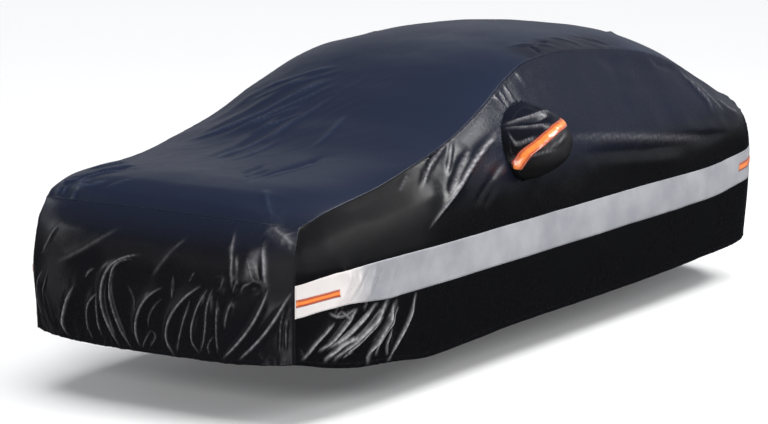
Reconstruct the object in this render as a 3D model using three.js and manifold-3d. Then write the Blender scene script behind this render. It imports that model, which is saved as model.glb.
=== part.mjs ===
// A fitted cover for a saloon car, cut and sewn from a coated cloth.
//
// Millimetres. The car's nose points to -X, its right side to +Y and its roof to +Z. The cover is
// described by heights above the ground, and the whole of it is then hung so that the underside of
// the roof's middle is the origin.
//
// Five cut panels meet along seams: a top over bonnet, roof and boot, two sides, a front and a rear.
// Each panel is a grid of points. Grids that meet share the points of their seam, so the cloth is one
// unbroken draped shape; each panel then gets its thickness and draws back from the seam a little.
import * as THREE from 'three';
import { mergeVertices, toCreasedNormals } from 'three/addons/utils/BufferGeometryUtils.js';
import initManifold from 'manifold-3d';

const manifold = await initManifold();
manifold.setup();

// ---- Driving sizes ----------------------------------------------------------------------------

const CLOTH_THICKNESS = 3; // coated cloth with its hems and seams
const TAPE_THICKNESS = 1; // reflective strips, bars and trims
const SEWING_GAP = 0.3; // between any two pieces
const ROOF_HEIGHT = 1580; // top of the roof's middle above the ground
const SMOOTH_ANGLE = THREE.MathUtils.degToRad(50); // edges flatter than this are shaded round

// Cells of the panels, along the car, across it and up its walls.
const CELLS_ALONG = [
  { from: -2740, to: -1824, cells: 11 },
  { from: -1824, to: 1450, cells: 22 },
  { from: 1450, to: 1770, cells: 4 },
];
const CELLS_ACROSS = 22;
const FRONT_CELLS_PER_TOP_CELL = 2; // the front panel gathers, so it is twice as fine
const CELLS_BELOW_STRIP = 4;
const CELLS_ABOVE_STRIP = 6;

// Side walls, a row per place along the car. Half widths are from the middle of the car, heights from
// the ground. hemBack, beltBack and seamBack say how far those levels lie behind the widest level.
// rightRise, rightOut and rightForward say how much higher, further out and further to the front the
// seam was pulled on the right side.
const SIDE = table(
  ['along', 'hemBack', 'hemHalf', 'hemHeight', 'wideHalf', 'beltBack', 'beltHalf', 'beltHeight',
    'seamBack', 'seamHalf', 'seamHeight', 'rightRise', 'rightOut', 'rightForward'],
  [
    [-2740, 18, 762, 324, 777, 30, 765, 850, 150, 705, 955, 20, 42, 75],
    [-2690, 10, 796, 318, 812, 25, 796, 868, 145, 722, 968, 42, 36, 62],
    [-2560, 0, 838, 290, 862, 15, 845, 898, 125, 740, 1000, 52, 18, 30],
    [-2350, 0, 866, 256, 900, 10, 880, 928, 80, 755, 1030, 38, 0, 0],
    [-2050, 0, 880, 230, 918, 0, 895, 955, 25, 762, 1064, 6, 0, 0],
    [-1700, 0, 880, 193, 922, 0, 898, 975, 0, 765, 1130, -20, 0, 0],
    [-1300, 0, 880, 200, 922, 0, 898, 985, 0, 740, 1213, -10, 0, 0],
    [-950, 0, 880, 210, 922, 0, 896, 985, 0, 700, 1318, 20, 0, 0],
    [-640, 0, 880, 212, 922, 0, 894, 985, 0, 652, 1425, 22, 0, 0],
    [-350, 0, 880, 211, 922, 0, 893, 985, 0, 615, 1486, 10, 0, 0],
    [0, 0, 880, 211, 922, 0, 892, 985, 0, 600, 1494, 0, 0, 0],
    [350, 0, 880, 213, 922, 0, 890, 985, 0, 600, 1463, 0, 0, 0],
    [800, 0, 880, 220, 918, 0, 886, 985, 0, 612, 1408, 0, 0, 0],
    [1150, 0, 876, 228, 910, 0, 878, 982, 0, 645, 1310, 0, 0, 0],
    [1450, 0, 864, 232, 895, 0, 866, 970, 0, 686, 1170, 0, 0, 0],
    [1640, -5, 846, 240, 874, -12, 848, 950, -30, 712, 1086, 0, 0, 0],
    [1770, -15, 808, 246, 828, -25, 806, 935, -55, 715, 1050, 0, 0, 0],
  ],
);
const WIDE_HEIGHT = 640; // the cover is widest here, all round

// The silver strip's edges above the ground, and the band in it that the orange bars take up.
const STRIP = table(
  ['along', 'low', 'barLow', 'barHigh', 'high'],
  [
    [-2740, 549, 602, 639, 707],
    [-2600, 574, 622, 658, 737],
    [-2450, 582, 631, 667, 752],
    [-2150, 564, 623, 663, 760],
    [-1500, 560, 625, 668, 752],
    [300, 562, 640, 684, 750],
    [1100, 563, 636, 681, 742],
    [1500, 585, 655, 700, 762],
    [1770, 600, 668, 714, 773],
  ],
);

// Front and rear walls on the car's middle line.
const NOSE = table(
  ['level', 'along', 'height'],
  [[0, -2815, 308], [1, -2880, 640], [2, -2852, 860], [3, -2718, 985]],
);
const TAIL = table(
  ['level', 'along', 'height'],
  [[0, 1950, 240], [1, 1990, 640], [2, 1980, 915], [3, 1900, 1062]],
);
const CORNER_POWER = 4; // how squarely the front and rear walls turn into the sides
const END_DIP_POWER = 3; // how late the levels of those walls fall towards their corners

// Ribs of the top panel, a row per place along its side seam: where the rib crosses the middle line,
// how high it is there, and how squarely it arches (2 is a round arch, more is a flatter one).
const RIBS = table(
  ['along', 'middleAlong', 'middleHeight', 'arch'],
  [
    [-2740, -2718, 985, 3],
    [-2690, -2672, 1045, 3.8],
    [-2560, -2555, 1098, 5.5],
    [-2350, -2390, 1118, 5.5],
    [-2050, -2150, 1126, 4.5],
    [-1700, -1830, 1146, 4],
    [-1300, -1420, 1248, 3.6],
    [-950, -1040, 1388, 3.8],
    [-640, -690, 1500, 3.8],
    [-350, -370, 1556, 3.4],
    [0, 0, 1580, 3.2],
    [350, 370, 1570, 3.2],
    [800, 830, 1520, 3.2],
    [1150, 1220, 1412, 3.2],
    [1450, 1540, 1218, 3.4],
    [1640, 1740, 1098, 3.6],
    [1770, 1900, 1062, 3],
  ],
);

// Orange bars, on the strip's first and last cells.
const FRONT_BAR_CELLS = 3;
const REAR_BAR_CELLS = 3;
const STRIP_END = 4; // the strip stops this far from the corner seam
const BAR_END = 8; // and the bar this far

// Door mirror pockets: a dome over a tilted oval hole in each side panel, crossed by an orange tape.
const POCKET = {
  along: -735, // middle of the oval
  tilt: THREE.MathUtils.degToRad(27), // the long axis rises to the back
  longHalf: 250,
  shortHalf: 150,
  backBulge: 0.3, // how much further the dome stands out at its back
  cells: 12,
};
// The cloth hangs lower and flatter over the right mirror.
const POCKET_PLACE = {
  left: { height: 1130, depth: 215 },
  right: { height: 1085, depth: 180 },
};
// Lines along the pocket, as shares of its short axis. The tape lies between the named ones, and all of
// them arch upwards between the pocket's ends.
const TAPE_LOW = -0.13;
const TAPE_MIDDLE = 0;
const TAPE_HIGH = 0.13;
const TAPE_RIDGE = 3; // its middle stands up
const POCKET_LINES = [-1, -0.84, -0.67, -0.49, -0.31, TAPE_LOW, TAPE_MIDDLE, TAPE_HIGH, 0.33, 0.55,
  0.78, 1];
const LINE_ARCH = 0.42;

// ---- Folds ------------------------------------------------------------------------------------
// Each fold is a soft ridge (or a trough where its rise is below nothing) along a curve through three
// places on its panel. Those are places along the car or across it, then heights, and on the top
// panel places along the car, then across it, negative on the left. Folds fade at both their ends.
const FOLD = ['from', 'fromUp', 'by', 'byUp', 'to', 'toUp', 'width', 'rise'];
const SEAM_FADE = 70; // a fold dies out this close to a seam

const FOLDS = {
  front_panel: table(FOLD, [
    [437, 620, 530, 430, 520, 300, 34, 20],
    [269, 640, 335, 500, 365, 300, 30, 17],
    [77, 775, 262, 620, 160, 260, 30, 22],
    [139, 730, 190, 540, 130, 300, 27, 18],
    [-129, 670, 42, 500, 45, 280, 28, 22],
    [-344, 690, -172, 540, -100, 270, 28, 22],
    [-278, 590, -212, 440, -140, 290, 24, 15],
    [-374, 690, -318, 520, -235, 330, 25, 17],
    [-404, 690, -357, 474, -290, 280, 25, 16],
    [-507, 650, -480, 560, -450, 470, 28, 12],
    [-671, 720, -585, 520, -390, 290, 30, 22],
    [-720, 650, -660, 500, -470, 300, 28, 18],
    [-400, 690, -540, 716, -690, 724, 30, 10],
    [-460, 940, -482, 830, -504, 700, 36, 10],
    [-555, 850, -595, 780, -622, 700, 34, 12],
    [600, 690, 376, 775, 150, 905, 60, 12],
    [-60, 700, -150, 795, -220, 880, 60, 12],
    [690, 620, 640, 480, 600, 330, 40, 14],
    [0, 905, -300, 880, -560, 905, 70, -10],
  ]),
  side_panel_left: table(FOLD, [
    [-2500, 540, -2620, 430, -2700, 320, 36, 18],
    [-2370, 555, -2500, 460, -2640, 360, 36, 20],
    [-2150, 560, -2290, 440, -2600, 320, 40, 26],
    [-2200, 460, -2360, 400, -2530, 330, 36, -14],
    [-2100, 520, -2190, 410, -2280, 290, 40, 24],
    [-2120, 500, -2105, 380, -2100, 220, 34, 16],
    [-1900, 520, -1950, 400, -2000, 260, 44, 14],
    [-2560, 800, -2420, 720, -2330, 560, 44, 10],
    [-850, 1215, -1180, 1110, -1720, 900, 62, 22],
    [-2420, 990, -2080, 990, -1740, 1030, 70, -14],
    [-1700, 1000, -1500, 1060, -1280, 1180, 70, -18],
    [-300, 1095, 489, 993, 1300, 880, 80, 20],
    [330, 965, 871, 915, 1300, 890, 60, -18],
    [-150, 930, 400, 868, 950, 815, 70, 16],
    [900, 1010, 1250, 1000, 1600, 975, 60, -20],
    [1225, 1230, 1262, 1140, 1300, 1050, 56, 16],
    [330, 1440, 560, 1360, 900, 1340, 60, -16],
    [-180, 560, -70, 470, 30, 385, 60, 12],
  ]),
  side_panel_right: table(FOLD, [
    [-2520, 540, -2600, 430, -2690, 320, 36, 18],
    [-2330, 555, -2430, 450, -2540, 330, 38, 22],
    [-2160, 550, -2230, 430, -2330, 300, 40, 20],
    [-1980, 540, -2010, 420, -2060, 280, 42, 16],
    [-900, 1215, -1240, 1090, -1700, 930, 66, 20],
    [-2380, 985, -2060, 1000, -1760, 1030, 70, -14],
    [-340, 1110, 380, 1010, 1240, 900, 84, 20],
    [250, 970, 800, 925, 1280, 880, 60, -16],
    [-200, 900, 320, 860, 880, 820, 72, 14],
    [920, 1030, 1240, 1000, 1590, 985, 60, -18],
    [380, 1430, 600, 1370, 880, 1345, 60, -14],
    [260, 560, 180, 470, 80, 380, 60, 12],
  ]),
  rear_panel: table(FOLD, [
    [-640, 700, -560, 520, -420, 220, 44, 18],
    [-430, 660, -330, 480, -270, 200, 42, 20],
    [-200, 640, -150, 450, -60, 200, 44, 16],
    [60, 690, 90, 480, 20, 200, 46, 18],
    [300, 650, 250, 470, 160, 200, 42, 18],
    [470, 700, 430, 500, 330, 210, 44, 20],
    [660, 690, 600, 520, 520, 230, 44, 16],
    [-600, 860, 0, 820, 600, 870, 80, -12],
  ]),
  top_panel: table(FOLD, [
    [-800, 270, -1250, 440, -1760, 600, 46, 14],
    [-950, 200, -1300, 285, -1680, 350, 44, 12],
    [-1100, 190, -1600, 225, -2140, 225, 44, 14],
    [-1250, 150, -1600, 120, -1960, 105, 46, 10],
    [-1700, -330, -2050, -290, -2400, -240, 60, -12],
    [-2640, 690, -2560, 590, -2400, 400, 60, -18],
    [-1500, 640, -1300, 610, -1050, 560, 50, 10],
    [950, -300, 1150, -120, 1320, 150, 70, -12],
    [1650, -560, 1700, 0, 1640, 560, 80, -16],
  ]),
};

// ---- Tables and curves ------------------------------------------------------------------------

/** Rows with named columns. */
function table(names, rows) {
  return rows.map((row) => Object.fromEntries(names.map((name, i) => [name, row[i]])));
}

/** A smooth curve through (at[i], value[i]) that never overshoots its points (monotone cubic). */
function curve(at, value) {
  const last = at.length - 1;
  const slope = at.slice(1).map((a, i) => (value[i + 1] - value[i]) / (a - at[i]));
  const tangent = at.map((_, i) => {
    if (i === 0 || i === last) return slope[i === 0 ? 0 : last - 1];
    const [before, after] = [slope[i - 1], slope[i]];
    return before * after <= 0 ? 0 : (2 * before * after) / (before + after);
  });
  return (x) => {
    let i = 0;
    while (i < last - 1 && x > at[i + 1]) i += 1;
    const width = at[i + 1] - at[i];
    const t = THREE.MathUtils.clamp((x - at[i]) / width, 0, 1);
    const [t2, t3] = [t * t, t * t * t];
    return value[i] * (2 * t3 - 3 * t2 + 1) + width * tangent[i] * (t3 - 2 * t2 + t)
      + value[i + 1] * (3 * t2 - 2 * t3) + width * tangent[i + 1] * (t3 - t2);
  };
}

/** One curve for each column of a table, run along its first column. */
function columnCurves(rows) {
  const [key, ...names] = Object.keys(rows[0]);
  const at = rows.map((row) => row[key]);
  return Object.fromEntries(names.map((name) => [name, curve(at, rows.map((row) => row[name]))]));
}

const side = columnCurves(SIDE);
const strip = columnCurves(STRIP);
const ribs = columnCurves(RIBS);
const nose = columnCurves(NOSE);
const tail = columnCurves(TAIL);

// ---- The draped surface -----------------------------------------------------------------------

const LEFT = -1;
const RIGHT = 1;

const alongStations = CELLS_ALONG.flatMap(({ from, to, cells }, zone) => (
  Array.from({ length: cells + (zone === CELLS_ALONG.length - 1 ? 1 : 0) }, (_, i) => (
    from + ((to - from) * i) / cells))
));
const acrossStations = Array.from({ length: CELLS_ACROSS + 1 }, (_, i) => -1 + (2 * i) / CELLS_ACROSS);
const SEAM_ROW = CELLS_BELOW_STRIP + 3 + CELLS_ABOVE_STRIP;

/** Heights of the wall's grid rows between its hem, the strip's four lines and its top seam. */
function rowHeights(hem, lines, seam) {
  const below = Array.from({ length: CELLS_BELOW_STRIP }, (_, i) => (
    hem + ((lines[0] - hem) * i) / CELLS_BELOW_STRIP));
  const above = Array.from({ length: CELLS_ABOVE_STRIP }, (_, i) => (
    lines[3] + ((seam - lines[3]) * (i + 1)) / CELLS_ABOVE_STRIP));
  return [...below, ...lines, ...above];
}

/** The points up one side wall at a place along the car. */
function sideColumn(which, along) {
  const s = Object.fromEntries(Object.entries(side).map(([name, at]) => [name, at(along)]));
  const seamHeight = s.seamHeight + (which === RIGHT ? s.rightRise : 0);
  const seamHalf = s.seamHalf + (which === RIGHT ? s.rightOut : 0);
  const levels = [s.hemHeight, WIDE_HEIGHT, s.beltHeight, seamHeight];
  const half = curve(levels, [s.hemHalf, s.wideHalf, s.beltHalf, seamHalf]);
  const seamBack = s.seamBack - (which === RIGHT ? s.rightForward : 0);
  const back = curve(levels, [s.hemBack, 0, s.beltBack, seamBack]);
  const lines = ['low', 'barLow', 'barHigh', 'high'].map((name) => strip[name](along));
  return rowHeights(s.hemHeight, lines, seamHeight)
    .map((height) => new THREE.Vector3(along + back(height), which * half(height), height));
}

/** The points up a front or rear wall, t from -1 at the left corner to 1 at the right one. */
function endColumn(end, profile, t) {
  const corner = sideColumn(t < 0 ? LEFT : RIGHT, end);
  const lines = ['low', 'barLow', 'barHigh', 'high'].map((name) => strip[name](end));
  const levels = [0, 1, 2, 3];
  const toAlong = curve(levels.map(profile.height), levels.map(profile.along));
  const middle = rowHeights(profile.height(0), lines, profile.height(3));
  const turn = Math.abs(t) ** CORNER_POWER;
  const dip = Math.abs(t) ** END_DIP_POWER;
  return corner.map((at, row) => new THREE.Vector3(
    THREE.MathUtils.lerp(toAlong(middle[row]), at.x, turn),
    Math.abs(at.y) * t,
    THREE.MathUtils.lerp(middle[row], at.z, dip),
  ));
}

/** A point of the top panel on the rib that starts at `along` on the side seams. */
function topPoint(along, t) {
  const seam = sideColumn(t < 0 ? LEFT : RIGHT, along)[SEAM_ROW];
  const fromEnd = Math.min(along - alongStations[0], alongStations.at(-1) - along);
  const power = THREE.MathUtils.lerp(CORNER_POWER, 2.6, THREE.MathUtils.smoothstep(fromEnd, 0, 300));
  return new THREE.Vector3(
    THREE.MathUtils.lerp(ribs.middleAlong(along), seam.x, Math.abs(t) ** power),
    Math.abs(seam.y) * t,
    THREE.MathUtils.lerp(ribs.middleHeight(along), seam.z, Math.abs(t) ** ribs.arch(along)),
  );
}

/** Splits every cell of a row of stations in `parts`, so that old and new lie on the same chords. */
function refine(stations, parts) {
  return stations.slice(0, -1).flatMap((from, i) => (
    Array.from({ length: parts }, (_, k) => ({ from: i, share: k / parts }))))
    .concat({ from: stations.length - 2, share: 1 });
}

/** A grid is columns of points; every panel's columns run so that its outside faces outwards. */
const grids = {
  side_panel_left: alongStations.map((along) => sideColumn(LEFT, along)),
  side_panel_right: [...alongStations].reverse().map((along) => sideColumn(RIGHT, along)),
  rear_panel: acrossStations.map((t) => endColumn(alongStations.at(-1), tail, t)),
  top_panel: [...acrossStations].reverse()
    .map((t) => alongStations.map((along) => topPoint(along, t))),
  front_panel: null,
};
{
  const coarse = [...acrossStations].reverse().map((t) => endColumn(alongStations[0], nose, t));
  grids.front_panel = refine(coarse, FRONT_CELLS_PER_TOP_CELL).map(({ from, share }) => (
    coarse[from].map((point, row) => point.clone().lerp(coarse[from + 1][row], share))));
}

/** Outward directions at the points of a grid, from its neighbours along and up. */
function gridNormals(columns) {
  const lastColumn = columns.length - 1;
  const lastRow = columns[0].length - 1;
  return columns.map((column, i) => column.map((_, j) => {
    const alongColumns = columns[Math.min(i + 1, lastColumn)][j].clone()
      .sub(columns[Math.max(i - 1, 0)][j]);
    const upRows = column[Math.min(j + 1, lastRow)].clone().sub(column[Math.max(j - 1, 0)]);
    return alongColumns.cross(upRows).normalize();
  }));
}

/** A curve through three points of a panel, as short straight pieces. */
function foldLine({ from, fromUp, by, byUp, to, toUp }) {
  const [start, middle, end] = [[from, fromUp], [by, byUp], [to, toUp]]
    .map(([a, b]) => new THREE.Vector2(a, b));
  const pull = middle.clone().multiplyScalar(2).sub(start.clone().add(end).multiplyScalar(0.5));
  return new THREE.QuadraticBezierCurve(start, pull, end).getPoints(12);
}

/** How far the folds of a panel lift its cloth at one place. */
function lift(folds, place) {
  let total = 0;
  for (const { line, width, rise } of folds) {
    let best = { gap: Infinity, share: 0 };
    for (let i = 0; i < line.length - 1; i += 1) {
      const piece = line[i + 1].clone().sub(line[i]);
      const t = THREE.MathUtils.clamp(
        place.clone().sub(line[i]).dot(piece) / piece.lengthSq(), 0, 1);
      const gap = place.distanceTo(line[i].clone().addScaledVector(piece, t));
      if (gap < best.gap) best = { gap, share: (i + t) / (line.length - 1) };
    }
    const fade = THREE.MathUtils.smoothstep(Math.min(best.share, 1 - best.share), 0, 0.2);
    total += (rise * fade) / (1 + (best.gap / width) ** 2) ** 2;
  }
  return total;
}

/** Lifts a grid's points along its outward directions, and keeps its seams where they are. */
function drape(name, columns) {
  const folds = FOLDS[name].map((fold) => ({ ...fold, line: foldLine(fold) }));
  const normals = gridNormals(columns);
  const lastColumn = columns.length - 1;
  const lastRow = columns[0].length - 1;
  const isTop = name === 'top_panel';
  const acrossFirst = name === 'front_panel' || name === 'rear_panel';
  return columns.map((column, i) => column.map((point, j) => {
    const seams = [columns[0][j], columns[lastColumn][j], column[lastRow]];
    if (isTop) seams.push(column[0]);
    const toSeam = Math.min(...seams.map((seam) => point.distanceTo(seam)));
    const place = new THREE.Vector2(acrossFirst ? point.y : point.x, isTop ? point.y : point.z);
    return point.clone().addScaledVector(
      normals[i][j], lift(folds, place) * THREE.MathUtils.smoothstep(toSeam, 0, SEAM_FADE));
  }));
}

const panels = Object.fromEntries(Object.entries(grids).map(([name, columns]) => {
  const draped = drape(name, columns);
  return [name, { columns: draped, normals: gridNormals(draped) }];
}));

/** Gives the panels that meet at a point of a seam one outward direction there. */
function shareSeamNormals(allPanels) {
  const key = (point) => point.toArray().map((value) => value.toFixed(2)).join();
  const meeting = new Map();
  const onEdge = ({ columns }, visit) => columns.forEach((column, i) => column.forEach((point, j) => {
    const edge = i === 0 || i === columns.length - 1 || j === 0 || j === column.length - 1;
    if (edge) visit(point, i, j);
  }));
  allPanels.forEach((panel) => onEdge(panel, (point, i, j) => {
    const sum = meeting.get(key(point)) ?? new THREE.Vector3();
    meeting.set(key(point), sum.add(panel.normals[i][j]));
  }));
  allPanels.forEach((panel) => onEdge(panel, (point, i, j) => {
    panel.normals[i][j] = meeting.get(key(point)).clone().normalize();
  }));
}
shareSeamNormals(Object.values(panels));
// The front panel's extra points on its top seam lie halfway between two shared ones.
{
  const { normals } = panels.front_panel;
  for (let i = 1; i < normals.length - 1; i += FRONT_CELLS_PER_TOP_CELL) {
    normals[i][SEAM_ROW] = normals[i - 1][SEAM_ROW].clone()
      .add(normals[i + 1][SEAM_ROW]).multiplyScalar(0.5);
  }
}

// ---- Solids -----------------------------------------------------------------------------------

/** Draws the edges of a grid back into it: shares are millimetres at its four edges. */
function drawBack(columns, { firstColumn = 0, lastColumn = 0, firstRow = 0, lastRow = 0 }) {
  const towards = (point, inner, distance) => (distance
    ? point.clone().lerp(inner, distance / point.distanceTo(inner)) : point);
  const wide = columns.map((column, i) => {
    if (i === 0) return column.map((p, j) => towards(p, columns[1][j], firstColumn));
    if (i < columns.length - 1) return column;
    return column.map((p, j) => towards(p, columns[i - 1][j], lastColumn));
  });
  return wide.map((column) => column.map((p, j) => {
    if (j === 0) return towards(p, column[1], firstRow);
    return j === column.length - 1 ? towards(p, column[j - 1], lastRow) : p;
  }));
}

/** A closed sheet of cloth on a grid: its faces lie `low` and `high` above the grid's points. */
function sheet(columns, normals, low, high) {
  const rows = columns[0].length;
  const layer = (height) => columns.flatMap((column, i) => column.map((point, j) => (
    point.clone().addScaledVector(normals[i][j], typeof height === 'function'
      ? height(i, j) : height))));
  const points = [...layer(high), ...layer(low)];
  const under = columns.length * rows;
  const at = (i, j) => i * rows + j;
  const index = [];
  for (let i = 0; i < columns.length - 1; i += 1) {
    for (let j = 0; j < rows - 1; j += 1) {
      const [a, b, c, d] = [at(i, j), at(i + 1, j), at(i + 1, j + 1), at(i, j + 1)];
      index.push(a, b, c, a, c, d);
      index.push(under + a, under + c, under + b, under + a, under + d, under + c);
    }
  }
  const rim = [];
  for (let i = 0; i < columns.length - 1; i += 1) rim.push([at(i, 0), at(i + 1, 0)]);
  for (let j = 0; j < rows - 1; j += 1) rim.push([at(columns.length - 1, j), at(columns.length - 1, j + 1)]);
  for (let i = columns.length - 1; i > 0; i -= 1) rim.push([at(i, rows - 1), at(i - 1, rows - 1)]);
  for (let j = rows - 1; j > 0; j -= 1) rim.push([at(0, j), at(0, j - 1)]);
  rim.forEach(([a, b]) => index.push(a, under + a, under + b, a, under + b, b));
  const geometry = new THREE.BufferGeometry().setFromPoints(points);
  return geometry.setIndex(index);
}

/** Cuts one closed shape out of another. */
function cutOut(from, tool) {
  const toSolid = (geometry) => {
    const { index, attributes } = mergeVertices(new THREE.BufferGeometry()
      .setAttribute('position', geometry.attributes.position).setIndex(geometry.index), 1e-4);
    return new manifold.Manifold(new manifold.Mesh({
      numProp: 3,
      vertProperties: new Float32Array(attributes.position.array),
      triVerts: new Uint32Array(index.array),
    }));
  };
  const { vertProperties, triVerts } = toSolid(from).subtract(toSolid(tool)).getMesh();
  return new THREE.BufferGeometry()
    .setAttribute('position', new THREE.BufferAttribute(vertProperties, 3))
    .setIndex(new THREE.BufferAttribute(triVerts, 1));
}

const CLOTH_HALF = CLOTH_THICKNESS / 2;
const SEAM_HALF = SEWING_GAP / 2;
const TAPE_LOW_FACE = CLOTH_HALF + SEWING_GAP;
const BAR_LOW_FACE = TAPE_LOW_FACE + TAPE_THICKNESS + SEWING_GAP;

function panelSolid(name) {
  const { columns, normals } = panels[name];
  const drawn = drawBack(columns, {
    firstColumn: SEAM_HALF,
    lastColumn: SEAM_HALF,
    firstRow: name === 'top_panel' ? SEAM_HALF : 0,
    lastRow: SEAM_HALF,
  });
  return sheet(drawn, normals, -CLOTH_HALF, CLOTH_HALF);
}

/** A tape sewn onto some cells of a side panel. */
function tapeOnSide(name, firstColumn, lastColumn, firstRow, lastRow, ends, lowFace) {
  const crop = (grid) => grid.slice(firstColumn, lastColumn + 1)
    .map((column) => column.slice(firstRow, lastRow + 1));
  const columns = drawBack(crop(panels[name].columns), ends);
  return sheet(columns, crop(panels[name].normals), lowFace, lowFace + TAPE_THICKNESS);
}

/** The cloth's middle surface on a side panel at a place along the car and a height. */
function sideSurfaceY(name, along, height) {
  const { columns } = panels[name];
  const ray = new THREE.Ray(new THREE.Vector3(along, 0, height),
    new THREE.Vector3(0, name.endsWith('left') ? LEFT : RIGHT, 0));
  const hit = new THREE.Vector3();
  for (let i = 0; i < columns.length - 1; i += 1) {
    for (let j = 0; j < columns[i].length - 1; j += 1) {
      const [a, b, c, d] = [columns[i][j], columns[i + 1][j], columns[i + 1][j + 1], columns[i][j + 1]];
      if (ray.intersectTriangle(a, b, c, false, hit) || ray.intersectTriangle(a, c, d, false, hit)) {
        return hit.y;
      }
    }
  }
  throw new Error(`no cloth at ${along}, ${height}`);
}

/** A place in the pocket's oval, from a place in a square (so that grid lines bend into the oval). */
function ovalPlace(hand, u, v, grow = 0) {
  const p = u * Math.sqrt(1 - (v * v) / 2) * (POCKET.longHalf + grow);
  const q = v * Math.sqrt(1 - (u * u) / 2) * (POCKET.shortHalf + grow);
  return {
    along: POCKET.along + Math.cos(POCKET.tilt) * p - Math.sin(POCKET.tilt) * q,
    height: POCKET_PLACE[hand].height + Math.sin(POCKET.tilt) * p + Math.cos(POCKET.tilt) * q,
  };
}

/** Grid of a mirror pocket's dome, from its rim in the side panel's own surface. */
function pocketGrid(hand) {
  const sideName = `side_panel_${hand}`;
  const which = hand === 'left' ? LEFT : RIGHT;
  const stations = Array.from({ length: POCKET.cells + 1 }, (_, i) => -1 + (2 * i) / POCKET.cells);
  const columns = (which === LEFT ? stations : stations.reverse()).map((u) => POCKET_LINES.map((line) => {
    const v = line + LINE_ARCH * (1 - line * line) * (1 - u ** 4);
    const { along, height } = ovalPlace(hand, u, v);
    const radius = Math.min(1, Math.hypot(u * Math.sqrt(1 - (v * v) / 2), v * Math.sqrt(1 - (u * u) / 2)));
    const depth = POCKET_PLACE[hand].depth * (1 - radius ** 2.4) ** 0.6 * (1 + POCKET.backBulge * u);
    return new THREE.Vector3(along, sideSurfaceY(sideName, along, height) + which * depth, height);
  }));
  return { columns, normals: gridNormals(columns) };
}

/** The prism that cuts the hole behind a pocket, just clear of the pocket's rim. */
function pocketHole(hand) {
  const which = hand === 'left' ? LEFT : RIGHT;
  const clear = CLOTH_HALF + SEWING_GAP + 0.2;
  const turn = (stations, place) => stations.slice(0, -1).map(place);
  const stations = Array.from({ length: POCKET.cells + 1 }, (_, i) => -1 + (2 * i) / POCKET.cells);
  const rim = [
    ...turn(stations, (u) => ovalPlace(hand, u, -1, clear)),
    ...turn(POCKET_LINES, (v) => ovalPlace(hand, 1, v, clear)),
    ...turn([...stations].reverse(), (u) => ovalPlace(hand, u, 1, clear)),
    ...turn([...POCKET_LINES].reverse(), (v) => ovalPlace(hand, -1, v, clear)),
  ];
  const shape = new THREE.Shape(rim.map(({ along, height }) => new THREE.Vector2(along, height)));
  const prism = new THREE.ExtrudeGeometry(shape, { depth: 500, bevelEnabled: false });
  prism.rotateX(Math.PI / 2);
  prism.translate(0, which === LEFT ? -500 : 1000, 0);
  return mergeVertices(prism.deleteAttribute('normal').deleteAttribute('uv'), 1e-3);
}

// ---- Finishes and nodes -----------------------------------------------------------------------

const FINISHES = {
  navy_cloth: { color: 0x1e2438, roughness: 0.5, metalness: 0 },
  dark_cloth: { color: 0x15151b, roughness: 0.42, metalness: 0 },
  silver_tape: { color: 0xb0b2b8, roughness: 0.35, metalness: 0.2 },
  orange_tape: { color: 0xe16e3c, roughness: 0.4, metalness: 0 },
};

const cover = new THREE.Group();
cover.position.z = CLOTH_HALF - ROOF_HEIGHT;

function add(name, geometry, finish) {
  const shaded = toCreasedNormals(geometry.toNonIndexed(), SMOOTH_ANGLE);
  const mesh = new THREE.Mesh(shaded, new THREE.MeshStandardMaterial(FINISHES[finish]));
  mesh.name = name;
  cover.add(mesh);
}

add('top_panel', panelSolid('top_panel'), 'navy_cloth');
add('front_panel', panelSolid('front_panel'), 'dark_cloth');
add('rear_panel', panelSolid('rear_panel'), 'dark_cloth');

const STRIP_FIRST_ROW = CELLS_BELOW_STRIP;
for (const hand of ['left', 'right']) {
  const name = `side_panel_${hand}`;
  add(name, cutOut(panelSolid(name), pocketHole(hand)), 'dark_cloth');

  const pocket = pocketGrid(hand);
  add(`mirror_pocket_${hand}`, sheet(pocket.columns, pocket.normals, -CLOTH_HALF, CLOTH_HALF),
    'dark_cloth');
  const tapeRows = [POCKET_LINES.indexOf(TAPE_LOW), POCKET_LINES.indexOf(TAPE_HIGH) + 1];
  const onTape = (grid) => grid.map((column) => column.slice(...tapeRows));
  const tapeEnds = { firstColumn: STRIP_END, lastColumn: STRIP_END };
  add(`orange_trim_${hand}`, sheet(
    drawBack(onTape(pocket.columns), tapeEnds),
    onTape(pocket.normals),
    TAPE_LOW_FACE,
    (i, j) => TAPE_LOW_FACE + TAPE_THICKNESS + (j === 1 ? TAPE_RIDGE : 0),
  ), 'orange_tape');

  const last = alongStations.length - 1;
  const ends = { firstColumn: STRIP_END, lastColumn: STRIP_END };
  add(`silver_strip_${hand}`,
    tapeOnSide(name, 0, last, STRIP_FIRST_ROW, STRIP_FIRST_ROW + 3, ends, TAPE_LOW_FACE), 'silver_tape');
  const barRows = [STRIP_FIRST_ROW + 1, STRIP_FIRST_ROW + 2];
  const isLeft = hand === 'left';
  const bar = (from, to, barEnds) => tapeOnSide(name, from, to, ...barRows, barEnds, BAR_LOW_FACE);
  const firstCells = (count, end) => bar(0, count, { firstColumn: end });
  const lastCells = (count, end) => bar(last - count, last, { lastColumn: end });
  add(`orange_bar_front_${hand}`, isLeft ? firstCells(FRONT_BAR_CELLS, BAR_END)
    : lastCells(FRONT_BAR_CELLS, BAR_END), 'orange_tape');
  add(`orange_bar_rear_${hand}`, isLeft ? lastCells(REAR_BAR_CELLS, BAR_END)
    : firstCells(REAR_BAR_CELLS, BAR_END), 'orange_tape');
}

const carCover = new THREE.Group();
carCover.name = 'car_cover';
carCover.add(cover);

export default carCover;
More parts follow.
